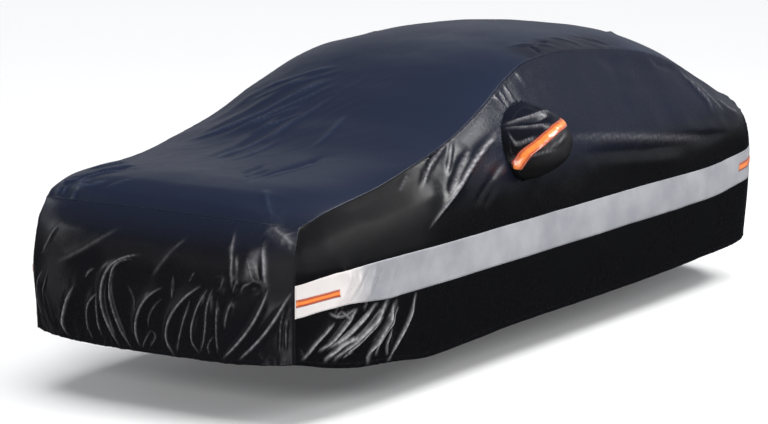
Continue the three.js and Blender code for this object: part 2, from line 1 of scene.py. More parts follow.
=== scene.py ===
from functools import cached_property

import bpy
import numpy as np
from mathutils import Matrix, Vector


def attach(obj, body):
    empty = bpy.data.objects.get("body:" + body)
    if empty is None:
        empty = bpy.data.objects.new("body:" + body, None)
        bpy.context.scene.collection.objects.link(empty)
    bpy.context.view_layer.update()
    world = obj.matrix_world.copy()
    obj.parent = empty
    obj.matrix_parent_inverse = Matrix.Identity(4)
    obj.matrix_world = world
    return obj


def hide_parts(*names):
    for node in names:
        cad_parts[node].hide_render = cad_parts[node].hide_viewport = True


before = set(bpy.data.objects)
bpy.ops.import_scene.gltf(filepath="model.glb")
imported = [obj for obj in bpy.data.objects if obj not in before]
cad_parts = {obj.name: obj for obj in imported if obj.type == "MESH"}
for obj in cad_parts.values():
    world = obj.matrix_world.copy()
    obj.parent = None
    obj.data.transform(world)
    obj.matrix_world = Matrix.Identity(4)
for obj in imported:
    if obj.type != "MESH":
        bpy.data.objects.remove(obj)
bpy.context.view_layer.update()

# Looks of a fitted cover for a saloon car: five cut panels of a coated cloth, two door mirror
# pockets with an orange tape across each, a silver strip along each side, and an orange bar at both
# ends of each strip.
#
# +X is to the back of the car, +Y to its right side, +Z up. The tables are in millimetres, with
# heights above the ground; pieces are put into their meshes in metres, in the part's own frame.

LEFT, RIGHT = -1, 1

# In metres: the ground below the origin, which is right under the roof's cloth, and thicknesses of
# the cloth with its hems and of the strips, bars and tapes.
GROUND = -1.5785
CLOTH, TAPE = 0.003, 0.001
THREAD, STITCH = 0.0011, 0.004  # pitches of the weave and of the seams' stitches


def table(names, rows):
    """The columns of a table of numbers, by name. A last number that a row leaves out is 0."""
    names = names.split()
    return dict(zip(names, np.array([[*row, 0][:len(names)] for row in rows], float).T))


# ---- Sizes ---------------------------------------------------------------------------------------

# Side walls at places along the car: half widths from the car's middle, heights from the ground.
# hemBack, beltBack and seamBack are how far those levels lie behind the widest level. rightRise,
# rightOut and rightForward say how the right side's seam was pulled up, out and to the front.
SIDE = table(
    "along hemBack hemHalf hemHeight wideHalf beltBack beltHalf beltHeight"
    " seamBack seamHalf seamHeight rightRise rightOut rightForward", [
        [-2740, 18, 762, 324, 777, 30, 765, 850, 150, 705, 955, 20, 42, 75],
        [-2690, 10, 796, 318, 812, 25, 796, 868, 145, 722, 968, 42, 36, 62],
        [-2560, 0, 838, 290, 862, 15, 845, 898, 125, 740, 1000, 52, 18, 30],
        [-2350, 0, 866, 256, 900, 10, 880, 928, 80, 755, 1030, 38, 0, 0],
        [-2050, 0, 880, 230, 918, 0, 895, 955, 25, 762, 1064, 6, 0, 0],
        [-1700, 0, 880, 193, 922, 0, 898, 975, 0, 765, 1130, -20, 0, 0],
        [-1300, 0, 880, 200, 922, 0, 898, 985, 0, 740, 1213, -10, 0, 0],
        [-950, 0, 880, 210, 922, 0, 896, 985, 0, 700, 1318, 20, 0, 0],
        [-640, 0, 880, 212, 922, 0, 894, 985, 0, 652, 1425, 22, 0, 0],
        [-350, 0, 880, 211, 922, 0, 893, 985, 0, 615, 1486, 10, 0, 0],
        [0, 0, 880, 211, 922, 0, 892, 985, 0, 600, 1494, 0, 0, 0],
        [350, 0, 880, 213, 922, 0, 890, 985, 0, 600, 1463, 0, 0, 0],
        [800, 0, 880, 220, 918, 0, 886, 985, 0, 612, 1408, 0, 0, 0],
        [1150, 0, 876, 228, 910, 0, 878, 982, 0, 645, 1310, 0, 0, 0],
        [1450, 0, 864, 232, 895, 0, 866, 970, 0, 686, 1170, 0, 0, 0],
        [1640, -5, 846, 240, 874, -12, 848, 950, -30, 712, 1086, 0, 0, 0],
        [1770, -15, 808, 246, 828, -25, 806, 935, -55, 715, 1050, 0, 0, 0]])
FRONT_END, REAR_END = SIDE["along"][0], SIDE["along"][-1]
WIDE_HEIGHT = 640
ROUNDED = 0.5  # how much the walls' sections are rounded

# The silver strip's edges, and the band in it that the orange bars take up.
STRIP = table("along low barLow barHigh high", [
    [-2740, 549, 602, 639, 707],
    [-2600, 574, 622, 658, 737],
    [-2450, 582, 631, 667, 752],
    [-2150, 564, 623, 663, 760],
    [-1500, 560, 625, 668, 752],
    [300, 562, 640, 684, 750],
    [1100, 563, 636, 681, 742],
    [1500, 585, 655, 700, 762],
    [1770, 600, 668, 714, 773]])

# Front and rear walls on the middle line, from the hem to the top seam.
NOSE = table("along height", [[-2815, 308], [-2880, 640], [-2852, 860], [-2718, 985]])
TAIL = table("along height", [[1950, 240], [1990, 640], [1980, 915], [1900, 1062]])
CORNER_POWER = 4  # how squarely the ends turn at their corners
END_DIP_POWER = 3

# Ribs of the top, at places along its side seams: where a rib crosses the middle line, how high,
# and how squarely it arches.
RIBS = table("along middleAlong middleHeight arch", [
    [-2740, -2718, 985, 3],
    [-2690, -2672, 1045, 3.8],
    [-2560, -2555, 1098, 5.5],
    [-2350, -2390, 1118, 5.5],
    [-2050, -2150, 1126, 4.5],
    [-1700, -1830, 1146, 4],
    [-1300, -1420, 1248, 3.6],
    [-950, -1040, 1388, 3.8],
    [-640, -690, 1500, 3.8],
    [-350, -370, 1556, 3.4],
    [0, 0, 1580, 3.2],
    [350, 370, 1570, 3.2],
    [800, 830, 1520, 3.2],
    [1150, 1220, 1412, 3.2],
    [1450, 1540, 1218, 3.4],
    [1640, 1740, 1098, 3.6],
    [1770, 1900, 1062, 3]])
BEND_POWER = 2.6  # how squarely the ribs bend along the car, away from the ends

# Levels up a wall that its rows are counted through.
HEM, STRIP_LOW, BAR_LOW, BAR_HIGH, STRIP_HIGH, SEAM = range(6)
FAR_OFF = 1000.0  # distance to a hem that a piece doesn't have

# A seam's stitches pull the cloth in by a depth, over a width to both sides, towards a line inside.
SEAM_DEPTH, SEAM_HALF = 1.3, 6
CORE_ALONG, CORE_HEIGHT = (-2250, 1450), 760.0

# Door mirror pockets: tilted ovals, whose domes bulge more to the back.
POCKET_ALONG = -735
POCKET_HEIGHT, POCKET_DEPTH = {LEFT: 1130, RIGHT: 1085}, {LEFT: 215, RIGHT: 180}
POCKET_LONG, POCKET_SHORT = 250, 150
TILT_COS, TILT_SIN = np.cos(np.radians(27)), np.sin(np.radians(27))
POCKET_BULGE = 0.3
LINE_ARCH = 0.42  # how far the row lines of a dome arch
HOLE, HOLE_REACH = 0.97, 0.05  # the hole behind a pocket, as a share of its oval

# The orange tape's middle in a pocket's oval, as shares of its half length and half height: from
# the kink at its lower front end, straight up its face and over its back.
TAPE_PATH = table("share long short", [
    [0.00, -0.98, 0.06],
    [0.05, -0.90, 0.19],
    [0.10, -0.81, 0.29],
    [0.15, -0.72, 0.36],
    [0.21, -0.60, 0.40],
    [0.30, -0.46, 0.42],
    [0.42, -0.21, 0.43],
    [0.59, 0.15, 0.39],
    [0.72, 0.44, 0.27],
    [0.85, 0.70, 0.08],
    [0.96, 0.90, -0.11],
    [1.00, 0.97, -0.20]])
TAPE_HALF = 17.5

# ---- Folds ---------------------------------------------------------------------------------------
# Each fold is a soft ridge (a trough where its rise is below nothing) along a curve through three
# places on its panel: places along the car or across it, then heights, and on the top places along
# the car, then across it. A fold is steeper on one side by its lean, which is mostly left out.
FOLD = "a0 b0 a1 b1 a2 b2 width rise lean"
# Creases are crisp: a crest (a sharp groove where the rise is below nothing) along a curve through
# four places, that falls to nothing at its width on both sides.
CREASE = "a0 b0 a1 b1 a2 b2 a3 b3 width rise lean"

FOLD_STEPS = 25  # points along a fold's curve
SOFT_FROM_SEAM, CRISP_FROM_SEAM = 70, 24  # where folds and creases are whole beside a seam
SOFT_REACH = 4  # where a soft fold ends, in widths
FADE_SHARE = 0.3  # how much of its length a fold fades over, at both ends
CREST_ROUND = 0.08  # how far a crest is rounded off, in widths
FULL_HIGHLIGHT_RISE = 15  # the rise of a crest from which its painted highlight is full
RANDOM_CELLS = 128  # cells both ways in which random waves repeat

FRONT_FOLDS = table(FOLD, [
    [437, 620, 530, 430, 520, 300, 34, 20, 0.3],
    [269, 640, 335, 500, 365, 300, 30, 17, 0.3],
    [77, 775, 262, 620, 160, 260, 30, 22, 0.4],
    [139, 730, 190, 540, 130, 300, 27, 18, 0.4],
    [-129, 670, 42, 500, 45, 280, 28, 22, -0.4],
    [-344, 690, -172, 540, -100, 270, 28, 22, -0.3],
    [-278, 590, -212, 440, -140, 290, 24, 15],
    [-374, 690, -318, 520, -235, 330, 25, 17, 0.3],
    [-404, 690, -357, 474, -290, 280, 25, 16],
    [-507, 650, -480, 560, -450, 470, 28, 12],
    [-671, 720, -585, 520, -390, 290, 30, 22, 0.4],
    [-720, 650, -660, 500, -470, 300, 28, 18, 0.3],
    [-400, 690, -540, 716, -690, 724, 30, 10],
    [-460, 940, -482, 830, -504, 700, 36, 10],
    [-555, 850, -595, 780, -622, 700, 34, 12],
    [600, 690, 376, 775, 150, 905, 60, 12],
    [-60, 700, -150, 795, -220, 880, 60, 12],
    [690, 620, 640, 480, 600, 330, 40, 14],
    [0, 905, -300, 880, -560, 905, 70, -10]])

LEFT_FOLDS = table(FOLD, [
    [-2500, 540, -2620, 430, -2700, 320, 36, 18, 0.3],
    [-2370, 555, -2500, 460, -2640, 360, 36, 20, 0.3],
    [-2150, 560, -2290, 440, -2600, 320, 40, 26, 0.3],
    [-2200, 460, -2360, 400, -2530, 330, 36, -14],
    [-2100, 520, -2190, 410, -2280, 290, 40, 24, 0.3],
    [-2120, 500, -2105, 380, -2100, 220, 34, 16],
    [-1900, 520, -1950, 400, -2000, 260, 44, 14],
    [-2560, 800, -2420, 720, -2330, 560, 44, 10],
    [-850, 1215, -1180, 1110, -1720, 900, 62, 22, 0.2],
    [-2420, 990, -2080, 990, -1740, 1030, 70, -14],
    [-1700, 1000, -1500, 1060, -1280, 1180, 70, -18],
    [-300, 1095, 489, 993, 1300, 880, 80, 20],
    [330, 965, 871, 915, 1300, 890, 60, -18],
    [-150, 930, 400, 868, 950, 815, 70, 16],
    [900, 1010, 1250, 1000, 1600, 975, 60, -20],
    [1225, 1230, 1262, 1140, 1300, 1050, 56, 16],
    [330, 1440, 560, 1360, 900, 1340, 60, -16],
    [-180, 560, -70, 470, 30, 385, 60, 12]])

RIGHT_FOLDS = table(FOLD, [
    [-2520, 540, -2600, 430, -2690, 320, 36, 18, 0.3],
    [-2330, 555, -2430, 450, -2540, 330, 38, 22, 0.3],
    [-2160, 550, -2230, 430, -2330, 300, 40, 20, 0.3],
    [-1980, 540, -2010, 420, -2060, 280, 42, 16],
    [-900, 1215, -1240, 1090, -1700, 930, 66, 20, 0.2],
    [-2380, 985, -2060, 1000, -1760, 1030, 70, -14],
    [-340, 1110, 380, 1010, 1240, 900, 84, 20],
    [250, 970, 800, 925, 1280, 880, 60, -16],
    [-200, 900, 320, 860, 880, 820, 72, 14],
    [920, 1030, 1240, 1000, 1590, 985, 60, -18],
    [380, 1430, 600, 1370, 880, 1345, 60, -14],
    [260, 560, 180, 470, 80, 380, 60, 12]])

REAR_FOLDS = table(FOLD, [
    [-640, 700, -560, 520, -420, 220, 44, 18, 0.3],
    [-430, 660, -330, 480, -270, 200, 42, 20, 0.3],
    [-200, 640, -150, 450, -60, 200, 44, 16],
    [60, 690, 90, 480, 20, 200, 46, 18],
    [300, 650, 250, 470, 160, 200, 42, 18, -0.3],
    [470, 700, 430, 500, 330, 210, 44, 20, -0.3],
    [660, 690, 600, 520, 520, 230, 44, 16, -0.3],
    [-600, 860, 0, 820, 600, 870, 80, -12]])

TOP_FOLDS = table(FOLD, [
    [-800, 270, -1250, 440, -1760, 600, 46, 14, 0.3],
    [-950, 200, -1300, 285, -1680, 350, 44, 12, 0.3],
    [-1100, 190, -1600, 225, -2140, 225, 44, 14, 0.3],
    [-1250, 150, -1600, 120, -1960, 105, 46, 10],
    [-1700, -330, -2050, -290, -2400, -240, 60, -12],
    [-2640, 690, -2560, 590, -2400, 400, 60, -18],
    [-1500, 640, -1300, 610, -1050, 560, 50, 10],
    [950, -300, 1150, -120, 1320, 150, 70, -12],
    [1650, -560, 1700, 0, 1640, 560, 80, -16]])

FRONT_CREASES = table(CREASE, [
    [668, 648, 720, 570, 740, 490, 714, 388, 24, 7],
    [617, 657, 645, 590, 668, 520, 682, 451, 20, 6],
    [430, 603, 476, 520, 525, 420, 513, 329, 34, 14, 0.3],
    [291, 701, 310, 688, 330, 670, 347, 650, 18, 8],
    [265, 588, 332, 524, 359, 446, 353, 338, 22, 11],
    [277, 586, 288, 511, 298, 435, 288, 352, 20, 9],
    [18, 795, 186, 721, 247, 553, 183, 314, 26, 13, 0.2],
    [58, 769, 180, 690, 182, 505, 115, 310, 22, 11, 0.2],
    [-120, 654, -15, 578, 52, 465, 58, 334, 24, 12, -0.2],
    [-118, 600, -70, 560, -25, 500, -10, 440, 16, 6],
    [50, 330, 25, 370, 0, 405, -25, 430, 16, 7],
    [-25, 425, -42, 400, -25, 370, 2, 341, 14, 7],
    [-345, 686, -220, 587, -127, 448, -143, 309, 26, 13, -0.2],
    [-278, 614, -250, 539, -199, 432, -159, 334, 20, 10],
    [-380, 677, -320, 575, -266, 450, -292, 341, 24, 12],
    [-410, 680, -378, 585, -352, 470, -294, 351, 20, 10],
    [-430, 629, -420, 540, -405, 450, -392, 353, 20, 9],
    [-388, 445, -356, 405, -345, 375, -351, 345, 15, 6],
    [-505, 627, -485, 580, -468, 530, -454, 488, 26, 8],
    [-674, 697, -620, 560, -535, 445, -419, 333, 28, 14, 0.2],
    [-770, 681, -712, 575, -640, 470, -507, 338, 30, 15, 0.2],
    [-742, 603, -721, 520, -712, 440, -704, 380, 16, 6],
    [-755, 560, -742, 500, -736, 430, -730, 385, 14, 5],
    [-447, 935, -485, 870, -502, 790, -506, 690, 34, 10, 0.3],
    [-567, 836, -588, 790, -600, 755, -612, 729, 22, 11],
    [-618, 885, -640, 840, -652, 790, -662, 715, 50, 15, 0.4],
    [-530, 728, -525, 706, -518, 688, -512, 665, 15, 6],
    [-590, 958, -640, 938, -690, 912, -745, 885, 36, 9, 0.4],
    [179, 900, 300, 820, 420, 755, 544, 704, 70, 3],
    [-222, 897, -170, 835, -110, 760, -55, 703, 60, 3],
    [-183, 715, -181, 675, -179, 643, -178, 605, 15, 6],
    [-306, 747, -296, 728, -285, 710, -275, 693, 13, 5],
    [90, 640, 60, 600, 50, 560, 62, 515, 18, 5],
    [560, 880, 600, 830, 640, 770, 690, 715, 34, 7]])

LEFT_CREASES = table(CREASE, [
    [-2689, 355, -2650, 410, -2600, 460, -2538, 503, 18, 8],
    [-2608, 390, -2540, 430, -2470, 485, -2389, 548, 24, 16, 0.2],
    [-2570, 338, -2510, 378, -2450, 402, -2375, 408, 28, 17, 0.2],
    [-2510, 335, -2390, 392, -2280, 450, -2157, 552, 34, 22, 0.2],
    [-2560, 395, -2450, 430, -2340, 490, -2240, 556, 26, 15, 0.2],
    [-2430, 340, -2340, 380, -2250, 430, -2190, 480, 24, 13],
    [-2448, 325, -2430, 333, -2410, 338, -2393, 342, 14, 6],
    [-2270, 285, -2235, 352, -2170, 420, -2095, 530, 38, 24, 0.3],
    [-2200, 300, -2180, 350, -2140, 400, -2060, 500, 24, 12],
    [-2116, 285, -2124, 330, -2115, 365, -2100, 405, 17, 8],
    [-2095, 250, -2020, 335, -1955, 425, -1905, 540, 28, 11],
    [-2560, 556, -2500, 530, -2450, 536, -2400, 552, 14, 6],
    [-2520, 530, -2480, 548, -2450, 520, -2420, 535, 12, 5],
    [-880, 1208, -1190, 1112, -1480, 1000, -1790, 850, 34, 15, 0.3],
    [-1202, 1152, -1330, 1103, -1470, 1038, -1600, 965, 28, 11, 0.2],
    [-1295, 1208, -1350, 1168, -1420, 1118, -1510, 1065, 24, 9],
    [-1350, 1196, -1430, 1172, -1520, 1140, -1630, 1095, 22, 8],
    [-1470, 1165, -1560, 1130, -1650, 1085, -1755, 1032, 26, 7],
    [-1625, 1112, -1680, 1080, -1725, 1055, -1778, 1028, 20, 3],
    [-1760, 1100, -1810, 1080, -1850, 1062, -1905, 1040, 22, 3],
    [-738, 1380, -733, 1350, -726, 1325, -716, 1295, 15, 8],
    [-678, 1402, -672, 1370, -665, 1340, -657, 1308, 15, 7],
    [-808, 1362, -792, 1340, -775, 1315, -758, 1288, 20, 9],
    [-526, 1450, -513, 1425, -502, 1402, -489, 1377, 22, 5],
    [-961, 1073, -1100, 1030, -1240, 965, -1379, 884, 46, -10],
    [-1113, 990, -1170, 950, -1230, 910, -1290, 865, 48, -6],
    [-2690, 905, -2650, 928, -2600, 950, -2545, 972, 22, 5],
    [-2470, 752, -2450, 705, -2475, 650, -2510, 575, 28, 18, 0.5],
    [-2420, 748, -2402, 700, -2432, 650, -2470, 580, 13, -10],
    [-2343, 745, -2375, 700, -2420, 645, -2475, 575, 26, 18, 0.5],
    [-2306, 742, -2330, 700, -2374, 640, -2420, 585, 13, -10],
    [-2241, 745, -2275, 690, -2300, 630, -2313, 560, 24, 16, 0.5],
    [-2192, 742, -2222, 690, -2245, 640, -2262, 590, 12, -8],
    [-2102, 700, -2118, 660, -2130, 610, -2135, 570, 24, 6],
    [-380, 1105, 60, 1052, 560, 985, 1150, 905, 90, 2.5, 0.3],
    [-420, 1010, 0, 978, 420, 938, 900, 893, 60, -6],
    [420, 1010, 760, 968, 1120, 925, 1480, 885, 64, -7],
    [150, 1290, 420, 1268, 700, 1240, 980, 1200, 60, -5],
    [1200, 1250, 1225, 1190, 1260, 1120, 1310, 1050, 40, 6],
    [1300, 1190, 1330, 1140, 1372, 1080, 1430, 1020, 36, 5],
    [905, 1350, 980, 1310, 1060, 1290, 1150, 1285, 30, -8],
    [1430, 1090, 1480, 1050, 1540, 1010, 1620, 985, 36, 5]])

RIGHT_CREASES = table(CREASE, [
    [-2670, 350, -2620, 410, -2570, 455, -2500, 500, 20, 9],
    [-2560, 330, -2480, 390, -2400, 450, -2330, 540, 28, 13, 0.2],
    [-2400, 300, -2330, 370, -2250, 440, -2170, 550, 30, 15, 0.2],
    [-2240, 290, -2200, 360, -2140, 420, -2080, 520, 34, 15, 0.2],
    [-2050, 250, -2010, 340, -1950, 430, -1900, 530, 28, 10],
    [-920, 1200, -1180, 1120, -1450, 1010, -1700, 925, 36, 14, 0.3],
    [-1220, 1160, -1350, 1100, -1480, 1050, -1590, 985, 28, 10],
    [-1420, 1165, -1500, 1120, -1600, 1080, -1700, 1040, 24, 9],
    [-760, 1360, -750, 1330, -742, 1300, -730, 1260, 18, 8],
    [-640, 1400, -636, 1360, -628, 1320, -620, 1280, 16, 7],
    [-940, 1030, -1080, 990, -1200, 930, -1330, 860, 46, -9],
    [-2400, 1000, -2300, 965, -2200, 930, -2100, 905, 42, 8],
    [1180, 1260, 1215, 1190, 1250, 1110, 1290, 1040, 34, 9],
    [1320, 1180, 1360, 1120, 1400, 1070, 1470, 1010, 30, 7]])

REAR_CREASES = table(CREASE, [
    [-720, 640, -690, 520, -640, 400, -560, 250, 30, 12, 0.2],
    [-600, 700, -560, 560, -500, 400, -450, 240, 28, 12],
    [-400, 640, -370, 500, -300, 380, -280, 240, 26, 11],
    [-180, 620, -170, 500, -130, 370, -90, 250, 28, 10],
    [40, 660, 70, 520, 60, 380, 30, 250, 26, 11],
    [250, 640, 240, 520, 210, 380, 150, 250, 28, 11],
    [430, 690, 420, 540, 370, 380, 310, 250, 28, 12],
    [640, 690, 620, 540, 580, 400, 510, 260, 30, 12, -0.2],
    [-690, 1000, -640, 940, -560, 890, -470, 850, 36, 9],
    [680, 990, 620, 930, 540, 880, 440, 850, 36, 9]])

TOP_CREASES = table(CREASE, [
    [-849, 232, -940, 340, -1020, 450, -1110, 575, 32, 6, 0.2],
    [-880, 150, -1010, 300, -1130, 440, -1260, 600, 28, 5, 0.2],
    [-969, 151, -1240, 300, -1520, 430, -1765, 620, 38, 9, 0.3],
    [-1040, 120, -1280, 235, -1500, 330, -1720, 440, 30, 7, 0.2],
    [-1275, 168, -1370, 230, -1465, 295, -1570, 370, 26, 6],
    [-1330, 120, -1450, 180, -1580, 240, -1700, 290, 26, 6],
    [-1552, 131, -1720, 138, -1900, 152, -2075, 174, 32, 7, 0.2],
    [-1600, 70, -1760, 60, -1930, 60, -2100, 80, 28, 5],
    [-1150, 60, -1330, 90, -1500, 110, -1680, 110, 34, 5],
    [-2045, -144, -2140, -155, -2230, -165, -2325, -178, 26, -7],
    [-1750, -289, -2000, -291, -2230, -275, -2480, -309, 30, -9],
    [-1800, -335, -2000, -340, -2200, -325, -2400, -335, 26, 6],
    [-2100, -225, -2200, -225, -2320, -235, -2430, -250, 22, -5],
    [-1300, -120, -1450, -150, -1600, -170, -1750, -180, 36, 5],
    [-2605, 655, -2575, 575, -2510, 520, -2430, 436, 28, 10, 0.2],
    [-2600, 410, -2645, 480, -2645, 545, -2630, 620, 26, 9],
    [-2584, 284, -2612, 320, -2638, 350, -2660, 378, 22, 6],
    [-2590, 720, -2585, 690, -2578, 655, -2571, 612, 22, 8],
    [-2500, 600, -2460, 540, -2400, 480, -2330, 430, 28, 7],
    [-2450, 690, -2400, 620, -2330, 570, -2250, 540, 30, 7],
    [-2655, -600, -2615, -560, -2560, -500, -2480, -440, 44, 4],
    [-300, -440, -180, -470, -60, -505, 40, -560, 26, 5],
    [-143, -505, -80, -500, -30, -497, 60, -500, 20, -6],
    [-190, -590, -165, -560, -155, -530, -130, -495, 20, -6],
    [120, -440, 190, -480, 260, -530, 320, -585, 26, 5],
    [330, -470, 420, -500, 520, -540, 640, -590, 30, -4],
    [-320, 440, -200, 470, -80, 510, 30, 560, 26, 2],
    [200, 450, 300, 490, 400, 540, 500, 590, 26, -3],
    [900, -420, 1020, -330, 1150, -230, 1300, -120, 40, 7, 0.2],
    [960, 300, 1080, 220, 1200, 160, 1340, 120, 40, 7],
    [1480, -560, 1530, -480, 1560, -380, 1570, -250, 36, 8],
    [1500, 580, 1540, 500, 1570, 380, 1580, 240, 36, 7]])

# Those of a pocket are in hundredths of its square: along it, then across its row lines.
POCKET_FOLDS = table(FOLD, [
    [-70, -52, -20, -66, 30, -70, 12, 5],
    [60, 30, 74, 50, 70, 70, 10, 5]])

POCKET_CREASES = table(CREASE, [
    [-36, 96, 9, 58, 48, 40, 85, 21, 15, 11, 0.2],
    [-52, 94, -28, 57, -8, 37, 26, 9, 12, 8],
    [-44, 96, -10, 52, 20, 33, 60, 14, 10, -6],
    [-60, 84, -75, 58, -58, 34, -30, 17, 11, 8],
    [-66, 90, -80, 66, -70, 42, -48, 22, 9, -5],
    [-34, -19, -9, -25, 14, -28, 40, -30, 11, 5],
    [-88, 30, -70, 0, -45, -20, -20, -34, 10, 4]])

SIDE_FOLDS = {LEFT: (LEFT_FOLDS, LEFT_CREASES), RIGHT: (RIGHT_FOLDS, RIGHT_CREASES)}

# ---- Curves and waves ----------------------------------------------------------------------------


def smooth(x, low=0.0, high=1.0):
    """0 below low and 1 above high, with a soft step 3t^2 - 2t^3 between them."""
    t = np.clip((x - low) / (high - low), 0, 1)
    return t * t * (3 - 2 * t)


def between(x, start, full, fading, gone):
    """Up from 0 to 1 between start and full, and down to 0 again between fading and gone."""
    return smooth(x, start, full) * (1 - smooth(x, fading, gone))


def band(x, half):
    """1 on a line and exp(-(x / half)^2) at a distance x from it."""
    return np.exp(-(x / half) ** 2)


def unit(vectors):
    return vectors / np.linalg.norm(vectors, axis=-1, keepdims=True)


def monotone(at, value, x, soft=0.0):
    """A smooth curve through (at, value): a cubic between each two points, whose slope at a point
    is the harmonic mean of the slopes on both sides of it, so that it never overshoots. By the
    share in soft it goes to their mean, weighted to the nearer point, which rounds the bends
    more."""
    width = np.diff(at)
    slope = np.diff(value) / width
    before, after = slope[..., :-1], slope[..., 1:]
    same = before * after > 0
    inner = np.where(same, 2 * before * after / np.where(same, before + after, 1), 0)
    if soft:
        mean = ((width[..., 1:] * before + width[..., :-1] * after)
                / (width[..., 1:] + width[..., :-1]))
        inner = inner + soft * np.where(same, mean - inner, 0)
    tangent = np.concatenate([slope[..., :1], inner, slope[..., -1:]], axis=-1)
    i = (x[..., None] > at[..., None, 1:-1]).sum(-1)
    pick = lambda a, k: np.take_along_axis(np.broadcast_to(a, k.shape[:-1] + a.shape[-1:]), k, -1)
    w = pick(width, i)
    t = np.clip((x - pick(at, i)) / w, 0, 1)
    t2, t3 = t * t, t * t * t
    return (pick(value, i) * (2 * t3 - 3 * t2 + 1) + w * pick(tangent, i) * (t3 - 2 * t2 + t)
            + pick(value, i + 1) * (3 * t2 - 2 * t3) + w * pick(tangent, i + 1) * (t3 - t2))


def columns(rows, x):
    """A table's columns, each as a smooth curve over its first column, at the places x."""
    (_, at), *others = rows.items()
    flat = np.asarray(x, float).ravel()
    return {name: monotone(at, column, flat).reshape(np.shape(x)) for name, column in others}


def ripple(a, b, cell, seed):
    """Soft random waves: random heights at the corners of square cells, blended by soft steps."""
    heights = np.random.default_rng(seed).standard_normal((RANDOM_CELLS, RANDOM_CELLS))
    p, q = a / cell, b / cell
    i, j = np.floor(p).astype(int), np.floor(q).astype(int)
    s, t = smooth(p - i), smooth(q - j)
    at = lambda di, dj: heights[(i + di) % RANDOM_CELLS, (j + dj) % RANDOM_CELLS]
    return (at(0, 0) * (1 - s) + at(1, 0) * s) * (1 - t) + (at(0, 1) * (1 - s) + at(1, 1) * s) * t


def crests(a, b, cell, seed):
    """Random waves with crisp crests: from 0 in the hollows to 1 along the lines where soft waves
    cross their middle height."""
    return np.clip(1 - 1.5 * np.abs(ripple(a, b, cell, seed)), 0, 1) ** 1.6


def through(places, share):
    """The curve through places at even shares of it: the polynomial of the least degree."""
    at = np.linspace(0, 1, len(places))
    own = np.eye(len(at), dtype=bool)
    gaps = at[:, None] - at + own
    parts = share[:, None, None] - at[None, None, :]
    basis = np.where(own, 1, parts / gaps).prod(-1)
    return (basis @ places).T


def lifts(a, b, folds, crisp=0):
    """How far folds lift the cloth at places (a, b). At a gap g from a fold's curve, in widths and
    stretched by the lean on one side, a soft fold's lift is its rise times 1 / (1 + g^2)^2 with a
    window that closes at four widths, and a crisp one's is (1 - s)^2.3, where s is g rounded off at
    the crest. Both fade towards the two ends. Also gives the painted highlight along the crests,
    from 0 to 1: the shape of the lift to the power in crisp, less on a low crest."""
    total, painted_highlight = np.zeros(np.shape(a)), np.zeros(np.shape(a))
    for *places, width, rise, lean in zip(*folds.values()):
        line = through(np.reshape(places, (-1, 2)), np.linspace(0, 1, FOLD_STEPS))
        reach = width / (1 - abs(lean)) * (1 if crisp else SOFT_REACH) + 1
        low, high = line.min(1) - reach, line.max(1) + reach
        near = (a > low[0]) & (a < high[0]) & (b > low[1]) & (b < high[1])
        if not near.any():
            continue
        place = np.stack([a[near], b[near]])[:, :, None]
        start, step = line[:, None, :-1], np.diff(line)[:, None, :]
        t = np.clip(((place - start) * step).sum(0) / (step ** 2).sum(0), 0, 1)
        off = place - start - step * t
        gap = np.hypot(*off)
        nearest = gap.argmin(1)[:, None]
        take = lambda values: np.take_along_axis(values, nearest, 1)[:, 0]
        hand = np.sign(take(step[0] * off[1] - step[1] * off[0]))
        g = take(gap) / width * (1 + lean * hand)
        if crisp:
            s = np.hypot(g, CREST_ROUND) - CREST_ROUND
            shape = np.clip(1 - s, 0, 1) ** 2.3
        else:
            shape = (np.clip(1 - (g / SOFT_REACH) ** 2, 0, 1) / (1 + g * g)) ** 2
        fading = FADE_SHARE * np.hypot(*(line[:, -1] - line[:, 0]))
        ends = [np.hypot(*(place[:, :, 0] - line[:, None, end])) for end in (0, -1)]
        fade = smooth(ends[0], 0, fading) * smooth(ends[1], 0, fading)
        total[near] += rise * shape * fade
        if crisp and rise > 0:
            crest_highlight = np.clip(rise / FULL_HIGHLIGHT_RISE, 0, 1) * shape ** crisp * np.sqrt(fade)
            painted_highlight[near] = np.maximum(painted_highlight[near], crest_highlight)
    return total, painted_highlight


def nearest_edge(points, edges):
    """Distance of each point to the nearest of some edges: to its own row's or column's point on
    them."""
    return np.minimum.reduce([np.linalg.norm(points - edge, axis=-1) for edge in edges])


def outward(points, flip):
    """Outward directions of a grid, from its neighbours along and up."""
    cross = np.cross(np.gradient(points, axis=0), np.gradient(points, axis=1))
    return unit(-cross if flip else cross)


def seam_dip(points, seam):
    """The stitches of a seam pull the cloth in, towards a line along the middle of the car."""
    core = np.stack([np.clip(points[..., 0], *CORE_ALONG), 0 * points[..., 0],
                     np.full(points.shape[:-1], CORE_HEIGHT)], -1)
    return unit(core - points) * (SEAM_DEPTH * band(seam, SEAM_HALF))[..., None]


# ---- Surfaces ------------------------------------------------------------------------------------


def split(marks, cell, crowd=()):
    """Stations that split each stretch between marks into cells no longer than cell (one number, or
    one for each stretch), with a few more at the offsets in crowd from both ends."""
    sizes = np.broadcast_to(cell, len(marks) - 1)
    parts = [np.linspace(p, q, max(2, int(np.ceil((q - p) / size)) + 1))
             for p, q, size in zip(marks[:-1], marks[1:], sizes)]
    near = np.array(crowd, float)
    return np.unique(np.round(np.concatenate([*parts, marks[0] + near, marks[-1] - near]), 6))


def wall_rows(*parts):
    """Rows of a wall, in so many parts between each two levels, with three more by its seam."""
    rows = split(range(HEM, SEAM + 1), 1 / np.array(parts))
    return np.unique(np.concatenate([rows, SEAM - np.array([0.01, 0.022, 0.038])]))


ALONG = split([FRONT_END, -1900, -480, REAR_END], [6.5, 9, 17.5], (3, 7, 12))
